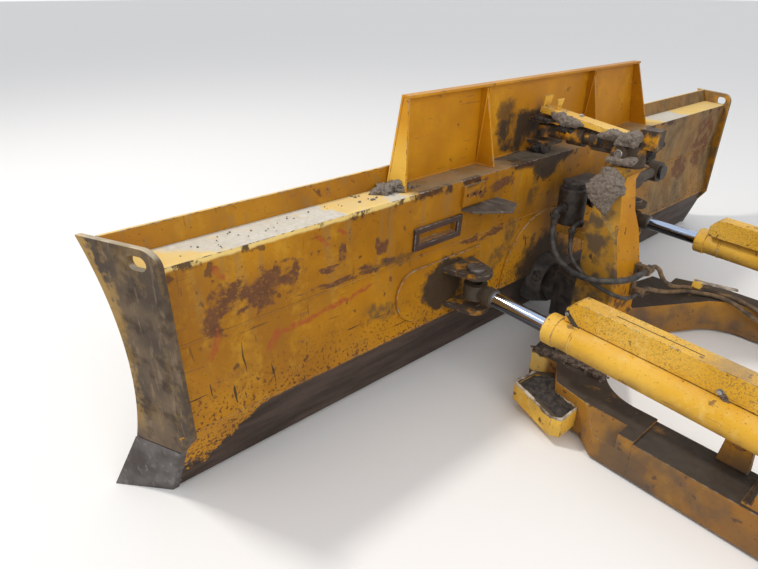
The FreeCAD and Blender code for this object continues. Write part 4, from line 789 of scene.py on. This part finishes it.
def skins(name, grids, finish, node, smooth=60):
    """One piece made of closed skins, given in blade millimetres. It rides with a node."""
    points, faces, start = [], [], 0
    for grid in grids:
        some, quads, fans = closed(from_blade(grid))
        points.append(some)
        faces += (quads + start).tolist() + (fans + start).tolist()
        start += len(some)
    mesh = bpy.data.meshes.new(name)
    mesh.from_pydata(np.vstack(points).tolist(), [], faces)
    mesh.shade_smooth()
    mesh.set_sharp_from_angle(angle=math.radians(smooth))
    mesh.materials.append(finish.material)
    piece = add_object(name, mesh)
    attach(piece, BODY_OF[node])
    print(name, len(faces), "faces")
    return piece


# %% Noise that crumbles a surface
lattice = np.random.default_rng(7).random((32, 32, 32))


def crumble(points, size, octaves=3):
    """Smooth noise from about -1 to 1: random values on a lattice whose cells are size
    wide, blended by an S-curve. Each octave halves both the cells and the height."""
    total, height = 0.0, 1.0
    for octave in range(octaves):
        place = points / size * 2 ** octave + 7.3 * octave
        cell = np.floor(place).astype(int)
        part = place - cell
        part = part * part * (3 - 2 * part)
        value = 0.0
        for corner in range(8):
            offset = np.array([corner & 1, corner >> 1 & 1, corner >> 2])
            index = (cell + offset) % 32
            weight = np.where(offset == 1, part, 1 - part).prod(-1)
            value = value + weight * lattice[index[..., 0], index[..., 1], index[..., 2]]
        total = total + height * (2 * value - 1)
        height /= 2
    return total


# %% Bodies along a path and bodies about an axis
def spread(path, count):
    """Rows evenly spread along a broken line, and the unit tangent at each."""
    path = np.asarray(path, float)
    run = np.r_[0, np.cumsum(np.linalg.norm(np.diff(path[:, :3], axis=0), axis=1))]
    where = np.linspace(0, run[-1], count)
    rows = np.stack([np.interp(where, run, path[:, k]) for k in range(path.shape[1])], -1)
    tangent = np.gradient(rows[:, :3], axis=0)
    return rows, tangent / np.linalg.norm(tangent, axis=1, keepdims=True)


def sections(rows, tangent, up, around):
    """The ring of unit vectors across each tangent: one part sideways, one part up."""
    side = np.cross(tangent, np.asarray(up, float))
    side /= np.linalg.norm(side, axis=1, keepdims=True)
    lift = np.cross(side, tangent)
    angle = np.linspace(0, 2 * np.pi, around, endpoint=False)[None, :, None]
    return np.cos(angle) * side[:, None], np.sin(angle) * lift[:, None]


def caked(path, up, size=26.0, lumps=0.34, rings=44, around=32):
    """A lump that was smeared along a path. A row of the path is a point, half the width
    across it and half the width towards up. The ellipse at each place shrinks to nothing
    at both ends as the root of 1 - s^4, and crumbly noise swells and sinks it."""
    rows, tangent = spread(path, rings)
    sideways, upwards = sections(rows, tangent, up, around)
    taper = np.sqrt(np.clip(1 - np.linspace(-1, 1, rings) ** 4, 0.004, 1))[:, None, None]
    out = taper * (sideways * rows[:, None, 3:4] + upwards * rows[:, None, 4:5])
    grid = rows[:, None, :3] + out
    rough = crumble(grid, size) + 0.45 * crumble(grid + 500, size / 5, 3)
    return rows[:, None, :3] + out * (1 + lumps * rough[..., None])


def swept(path, radius, up=(0.1, 0.2, 1), rings=30, around=16):
    """A round bar along a broken line whose corners are rounded by averaging."""
    rows, _ = spread(path, rings)
    for _ in range(3):
        rows[1:-1] = (rows[:-2] + 2 * rows[1:-1] + rows[2:]) / 4
    rows, tangent = spread(rows, rings)
    sideways, upwards = sections(rows, tangent, up, around)
    return rows[:, None, :3] + (sideways + upwards) * radius


def bead(path, up, radius=3.5, pitch=9.0, around=8):
    """A weld bead: a half-sunk bar whose radius ripples once for each drop of metal."""
    length = np.linalg.norm(np.diff(np.asarray(path, float)[:, :3], axis=0), axis=1).sum()
    rings = max(int(length / pitch * 3), 6)
    rows, tangent = spread(path, rings)
    sideways, upwards = sections(rows, tangent, up, around)
    ripple = 1 + 0.14 * np.cos(np.arange(rings) * 2 * np.pi / 3) + 0.10 * crumble(rows[:, :3], 40)
    return rows[:, None, :3] + (sideways + upwards) * (radius * ripple)[:, None, None]


def lathed(profile, place, axis, around=24, turn=0.0):
    """Rings about an axis. A row of the profile is a radius and a height along it."""
    axis = np.asarray(axis, float) / np.linalg.norm(axis)
    side = np.cross(axis, (0.31, 0.52, 0.79))
    side /= np.linalg.norm(side)
    angle = np.linspace(0, 2 * np.pi, around, endpoint=False) + turn
    ring = np.cos(angle)[:, None] * side + np.sin(angle)[:, None] * np.cross(axis, side)
    profile = np.asarray(profile, float)[:, :, None, None]
    return np.asarray(place, float) + profile[:, 0] * ring + profile[:, 1] * axis


def bolt(place, axis, size=11.0, tall=9.0, turn=0.0):
    """A washer and a six-sided head with a chamfered top, on a plate at place."""
    washer = [(1.3 * size, -2), (1.35 * size, 0.4), (1.35 * size, 1.8), (1.25 * size, 2.4)]
    head = [(size, 1), (size, 0.8 * tall), (0.86 * size, tall), (0.5 * size, tall * 0.98)]
    return [lathed(washer, place, axis, 20), lathed(head, place, axis, 6, turn)]


def clod(place, size, seed):
    """One crumb of soil: a ball whose radius follows the noise."""
    angle = np.linspace(0.12, np.pi - 0.12, 9)
    ball = lathed(np.stack([np.sin(angle), -np.cos(angle)], -1), (0, 0, 0), (0.2, 0.1, 1), 11)
    swell = 1 + 0.45 * crumble(ball + seed * 3.7, 0.9, 2)[..., None]
    return np.asarray(place, float) + ball * swell * size * np.array((1, 1, 0.75))


# %% [markdown]
# ## Dried mud and greasy soil
# Grey mud dried on the tower's left flank, along the guard bar's lower edge, over the
# knuckle and on the blade's flat top. Browner soil lies on the frame's deck below the
# cylinder and fills the pad in front of it, and black grease cakes the link's joints.

# %% Lumps that follow the steel they cling to
UP, DOWN, LEFT, BACK = (0, 0, 1), (0, 0, -1), (0, 1, 0), (-1, 0, 0)
neck = [(-394, 56, 840, 46, 14), (-388, 58, 828, 56, 18), (-378, 62, 806, 60, 20),
        (-366, 70, 776, 66, 20), (-364, 80, 742, 72, 19), (-378, 90, 708, 56, 15),
        (-392, 95, 676, 34, 10), (-402, 98, 648, 16, 6)]
skins("neck_mud", [caked(neck, LEFT, 54, 0.27, 120, 110)], mud, "tower")
bar = [(-34, 34, 1006, 10, 8), (-52, 35, 999, 13, 16), (-80, 36, 990, 15, 25),
       (-130, 37, 982, 15, 22), (-180, 37, 978, 13, 16), (-205, 36, 976, 9, 9)]
skins("bar_mud", [caked(bar, UP, 24, 0.26, 80, 44)], mud, "top_link_guard")
bar_end = [(-272, 44, 948, 10, 10), (-310, 44, 954, 20, 20), (-360, 42, 962, 26, 24),
           (-385, 40, 972, 20, 20)]
skins("bar_end_mud", [caked(bar_end, UP, 28, 0.28, 60, 44)], mud, "top_link_guard")
over_boss = [(-352, 46, 926, 16, 14), (-392, 50, 946, 26, 24), (-430, 44, 962, 28, 30),
             (-458, 40, 986, 22, 22)]
under_boss = [(-330, 48, 868, 12, 12), (-356, 56, 867, 22, 17), (-400, 54, 869, 24, 19),
              (-440, 46, 876, 20, 20), (-462, 38, 886, 14, 14)]
boss_lumps = [caked(over_boss, UP, 26, 0.30, 60, 48), caked(under_boss, UP, 24, 0.22, 60, 48)]
skins("knuckle_mud", boss_lumps, mud, "link_knuckle")
far_side = [(-500, -14, 958, 14, 20), (-480, -36, 926, 22, 34), (-462, -44, 888, 20, 28),
            (-450, -46, 858, 14, 16)]
skins("knuckle_grease", [caked(far_side, (0, -1, 0), 20, 0.45)], dark_mud, "link_knuckle")
clevis_side = [(34, 52, 838, 14, 16), (-6, 54, 846, 22, 26), (-38, 46, 852, 16, 24),
               (-52, 30, 842, 14, 18)]
clevis_top = [(40, 48, 982, 10, 7), (0, 52, 974, 16, 10), (-36, 44, 970, 12, 8)]
skins("clevis_grease", [caked(path, UP, 18, 0.4) for path in (clevis_side, clevis_top)],
      dark_mud, "top_link_clevis")
link = [(-62, 22, 940, 16, 14), (-110, 26, 944, 14, 14), (-150, 26, 940, 12, 16),
        (-168, 28, 930, 8, 10)]
skins("link_grease", [caked(link, UP, 16, 0.4)], dark_mud, "top_link")
lug = [(-236, 6, 704, 14, 10), (-205, 24, 716, 26, 16), (-170, 30, 712, 24, 14),
       (-142, 18, 704, 12, 8)]
skins("lug_grease", [caked(lug, UP, 20, 0.4)], dark_mud, "swivel_arm")
ball = [(-96, 70, 272, 22, 26), (-122, 84, 256, 24, 30), (-146, 84, 240, 16, 20)]
skins("ball_grease", [caked(ball, LEFT, 30, 0.4)], dark_mud, "blade_socket")
deck = [(-388, 498, 168, 14, 6), (-430, 500, 172, 24, 14), (-500, 486, 173, 22, 12),
        (-560, 474, 172, 22, 12), (-640, 470, 175, 32, 20), (-690, 476, 174, 28, 15),
        (-724, 500, 169, 12, 6)]
skins("deck_soil", [caked(deck, UP, 24, 0.5, 90, 32)], soil, "cross_member")
barrel = [(-1112, 630, 440, 14, 10), (-1136, 622, 420, 16, 14), (-1160, 612, 414, 14, 10)]
skins("barrel_soil", [caked(barrel, UP, 16, 0.45)], soil, "left_angle_barrel")

# %% Crumbs of soil, strewn where they lodge
strewn = np.random.default_rng(11)


def crumbs(count, low, high, sizes):
    """Clods at random places in a box, from low to high, that lie on its floor."""
    places = strewn.uniform(low, high, (count, 3))
    widths = strewn.uniform(*sizes, count)
    return [clod(place, width, k) for k, (place, width) in enumerate(zip(places, widths))]


top_heap = [(34, 1016, 829, 14, 8), (24, 962, 834, 34, 16), (10, 905, 838, 40, 22),
            (30, 860, 834, 30, 16), (34, 838, 829, 12, 8)]
on_top = crumbs(34, (-20, 800, 828), (60, 1090, 829), (2.5, 7))
on_top += crumbs(26, (-60, 1120, 828), (50, 1760, 828.5), (1.5, 3.5))
skins("top_soil", [caked(top_heap, UP, 18, 0.5, 60, 32)] + on_top, mud, "upper_back_box")
skins("deck_crumbs", crumbs(40, (-720, 440, 168), (-400, 515, 170), (3, 8)), soil, "cross_member")


def heap(outline, low, top, size, rings=16, around=120):
    """Soil that fills a hollow: rings shrink from the outline to its middle, with a top
    that crumbles, above a flat bottom ring."""
    loop = np.asarray(list(outline) + [outline[0]], float)
    loop = np.column_stack([loop, np.zeros(len(loop))])
    edge = spread(loop, around + 1)[0][:-1]
    middle = edge.mean(0)
    share = np.linspace(0.03, 1, rings)[:, None, None]
    grid = middle + (edge - middle)[None] * share
    fall = np.clip(1 - share[..., 0] ** 6, 0, 1)
    lumps = 7 * crumble(grid, size) * (0.3 + 0.7 * fall)
    grid[..., 2] = low + (top - low) * (0.75 + 0.25 * fall) + lumps
    foot = grid[-1].copy()
    foot[:, 2] = low
    return np.concatenate([grid, foot[None]])


well = [(-474, 680), (-480, 582), (-542, 556), (-592, 636), (-704, 657), (-704, 732), (-686, 744)]
pad_back = [(-500, 584, 118, 8, 5), (-546, 560, 119, 12, 7), (-592, 636, 120, 14, 8),
            (-650, 650, 119, 12, 7), (-704, 662, 118, 9, 5)]
in_pad = crumbs(18, (-660, 640, 108), (-500, 700, 112), (3, 7))
skins("pad_soil", [heap(well, 70, 126, 24), caked(pad_back, UP, 14, 0.5, 80, 20)] + in_pad,
      dark_mud, "left_corner_guard")

# %% [markdown]
# ## Weld beads, bolts and torn rims
# Plates meet in weld beads that ripple once for each drop of metal. Bolts are a washer
# and a chamfered hexagon. The pad's rim is torn, so its bead wanders and is bare steel.

# %% Weld beads
crease = [(-56, -1868, 560), (-56, 1864, 560)]
foot_line = [(-84, -1872, 266), (-84, 1866, 266)]
box_top = [(76, -1890, 827), (76, -905, 827)], [(76, 905, 827), (76, 1890, 827)]
end_line = [(-76, 1832, 820), (-56, 1838, 560), (-83, 1827, 272)]
blade_beads = [bead(crease, BACK, 3.2, 14), bead(foot_line, BACK, 3.6, 14)]
blade_beads += [bead(line, UP, 4, 16) for line in box_top]
blade_beads += [bead([(x, side * y, z) for x, y, z in end_line], BACK, 5) for side in (1, -1)]
skins("blade_beads", blade_beads, blade_coat, "moldboard")
guard_beads = []
for y in (-395, 395):
    for side in (-6.5, 6.5):
        guard_beads += [bead([(-30, y + side, 828), (58, y + side, 828)], UP, 3.5),
                        bead([(58, y + side, 832), (26, y + side, 1136)], BACK, 3.5)]
guard_beads.append(bead([(57, -895, 829), (57, 895, 829)], UP, 4, 14))
skins("guard_beads", guard_beads, guard_coat, "spill_guard")
tower_foot = [(-330, 119, 170), (-496, 119, 170), (-507, 108, 170), (-507, -108, 170),
              (-496, -119, 170)]
skins("tower_beads", [bead(tower_foot, UP, 6)], tower_coat, "tower")
frame_beads = [bead([(x, side * 555, 169), (x, side * 708, 169)], UP, 5)
               for side in (1, -1) for x in (-1280, -1440)]
skins("frame_beads", frame_beads, frame_coat, "left_arm")

# %% Bolts, each turned by another angle
SIDES = (("left", 1), ("right", -1))
for name, side in SIDES:
    bolts = [grid for x, z in ((-603, 470), (-1120, 436), (-1290, 434))
             for grid in bolt((x, side * 635, z), (0, side, 0), 8, 7, x)]
    skins(name + "_cover_bolts", bolts, zinc, name + "_cylinder_cover", 30)
bar_bolts = bolt((-153, -20, 1000.5), (0.14, 0, 1), 8, 8, 0.4)
bar_bolts += bolt((-340, 20, 974), (0.14, 0, 1), 8, 8, 0.1)
skins("bar_bolt", bar_bolts, zinc, "top_link_guard", 30)


# %% A strap and a seam on each cylinder's cover
def flat_bar(path, up, wide, thick):
    """A flat strip along a path: a ring of four corners at each row."""
    rows, tangent = spread(path, 12)
    sideways, upwards = sections(rows, tangent, up, 4)
    side, lift = sideways[:, 0], upwards[:, 1]
    corners = [(wide, thick), (-wide, thick), (-wide, -thick), (wide, -thick)]
    return np.stack([rows[:, :3] + side * a / 2 + lift * b / 2 for a, b in corners], 1)


for name, side in SIDES:
    cover = name + "_cylinder_cover"
    strap = [(-597, side * 637, 482), (-612, side * 637, 462), (-650, side * 637, 428)]
    seam = [(-760, side * 604, 520.5), (-1045, side * 604, 509.4)]
    skins(cover + "_strap", [flat_bar(strap, (0, side, 0), 15, 4), flat_bar(seam, UP, 3, 1.2)],
          greasy, cover, 30)

# %% The torn rim of the left pad, and a boss's worn ring
rim = [(-600, 625), (-530, 520), (-470, 570), (-462, 690), (-678, 764), (-712, 744), (-712, 647)]
rim_path = [(x + (3 if x < -600 else -3), y - 3, 120) for x, y in rim[2:] + rim[:1]]
torn = bead(rim_path, UP, 5.5, 12)
torn[..., 2] += 4 * crumble(torn, 22)
torn[..., :2] += 2.5 * crumble(torn + 90, 16)[..., None]
skins("torn_rim", [torn], torn_steel, "left_corner_guard")
ring = [(12.5, 0), (13, 3), (16, 3.2), (17.6, 1.6), (18, -1), (13, -1.5)]
skins("boss_ring", [lathed(ring, (-388, 65.5, 898), LEFT, 32)], zinc, "link_knuckle", 40)


# %% Fittings of the two hoses, and the clamp's bolts
def scaled(radius, *profile):
    """A profile whose radii are given as shares of one radius."""
    return [(share * radius, height) for share, height in profile]


def fitting(path, radius, drum_end, hose_end, ferrule):
    """A greasy elbow with a nut at each end and a crimped sleeve over the hose."""
    nut = scaled(radius, (0.5, 0), (1.42, 0), (1.5, 2), (1.5, 18), (1.36, 20), (0.5, 20))
    sleeve = scaled(radius, (0.6, 0), (1, 0), (1.06, 4), (1, 8), (1.06, 14), (1, 20),
                    (1.04, 28), (0.92, 31), (0.5, 31))
    return [swept(path, radius), lathed(nut, drum_end, LEFT, 6),
            lathed(nut, hose_end, DOWN, 6, 0.3), lathed(sleeve, ferrule, DOWN, 24)]


def coupling(place, radius):
    """Two nuts and a collar in a row along the hose, from its end to the steel line."""
    nut = scaled(radius, (0.5, 0), (1.3, 0), (1.38, 2), (1.38, 14), (1.3, 16), (0.5, 16))
    collar = scaled(radius, (0.5, 14), (1, 14), (1, 36), (0.5, 36))
    far = scaled(radius, (0.5, 34), (1.2, 34), (1.26, 36), (1.26, 48), (1.2, 50), (0.5, 50))
    return [lathed(nut, place, (0, -1, 0), 6), lathed(collar, place, (0, -1, 0), 20),
            lathed(far, place, (0, -1, 0), 6, 0.4)]


upper = fitting([(-187, 54, 618), (-187, 100, 618), (-188, 128, 612), (-189, 132, 596)], 15,
                (-187, 60, 618), (-189, 132, 606), (-189, 132, 588))
lower = fitting([(-270, 36, 560), (-270, 82, 560), (-270, 104, 556), (-270, 108, 544)], 11.5,
                (-270, 44, 560), (-270, 108, 550), (-270, 108, 533))
fittings = skins("hose_elbows", upper + lower, greasy, "hose_fittings", 40)
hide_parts("hose_fittings")
bracket = [flat_bar([(-510, -70, 264), (-510, -70, 416)], BACK, 40, 8)]
bracket += [flat_bar([(-510, -70, z), (-560, -70, z)], UP, 26, 34) for z in (283, 397)]
ends = coupling((-556, -45, 397.5), 17) + coupling((-544, -45, 284), 12)
couplings = skins("hose_couplings", ends + bracket, line_paint, "hose_clamp", 30)
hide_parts("hose_clamp")
clamp_bolts = [grid for y in (-58, -82) for grid in bolt((-515, y, 340), BACK, 8, 7)]
skins("clamp_bolts", clamp_bolts, zinc, "hose_clamp", 30)
clip = [(-632, -520, 214), (-636, -470, 221)]
skins("line_clip", [flat_bar(clip, UP, 36, 30)], bar_coat, "steel_lines", 30)
strap = [(-618, -486, 233), (-690, -520, 226), (-790, -560, 222)]
skins("line_strap", [flat_bar(strap, UP, 24, 5)], torn_steel, "steel_lines", 30)

# %% [markdown]
# ## Floor and light
# A pale floor, a white world and two soft lamps: a small high one in front of the
# blade and to its left, where the sun stood, and a wide weak one behind the camera.

# %% Floor
REACH = 90.0  # metres, so that no picture shows the floor's edge
corners = [(x * REACH, y * REACH, GROUND - 0.0005)
           for x, y in ((-1, -1), (1, -1), (1, 1), (-1, 1))]
floor_mesh = bpy.data.meshes.new("floor")
floor_mesh.from_pydata(corners, [], [(0, 1, 2, 3)])
floor = add_object("floor", floor_mesh)
floor_finish = Finish("studio_floor", roughness=0.9)
floor_finish.give("Base Color", (0.90, 0.89, 0.87, 1))
floor_mesh.materials.append(floor_finish.material)


# %% Lamps and world
def lamp(name, place, aim, size, power, tint):
    """A round lamp at a place, turned towards aim. Its power is in watts."""
    light = bpy.data.lights.new(name, "AREA")
    light.shape = "DISK"
    light.size, light.energy, light.color = size, power, tint
    piece = add_object(name, light)
    piece.location = place
    piece.rotation_euler = (Vector(aim) - Vector(place)).to_track_quat("-Z", "Y").to_euler()


lamp("sun", (5.9, 3.2, 6.6), (2.1, 0.0, 0.0), 0.9, 285, (1.0, 0.96, 0.90))
lamp("fill", (-3.2, 2.0, 3.4), (2.2, 0.2, 0.2), 4.0, 100, (1.0, 0.98, 0.95))
world = bpy.data.worlds.new("studio")
bpy.context.scene.world = world
world.use_nodes = True
nodes, links = world.node_tree.nodes, world.node_tree.links
sky = nodes["Background"]
sky.inputs["Color"].default_value = (0.94, 0.96, 1.0, 1)

# The world is white where it is seen, also in a mirror or through glass, and lights
# everything else at 0.72 of that.
seen_by = nodes.new("ShaderNodeLightPath").outputs
seen = seen_by["Is Camera Ray"]
for ray in ("Is Glossy Ray", "Is Transmission Ray"):
    either = nodes.new("ShaderNodeMath")
    either.operation, either.use_clamp = "ADD", True
    links.new(seen, either.inputs[0])
    links.new(seen_by[ray], either.inputs[1])
    seen = either.outputs[0]
strength = nodes.new("ShaderNodeMapRange")
strength.inputs["To Min"].default_value = 0.72
strength.inputs["To Max"].default_value = 1.0
links.new(seen, strength.inputs["Value"])
links.new(strength.outputs[0], sky.inputs["Strength"])
print("lamps and world set")
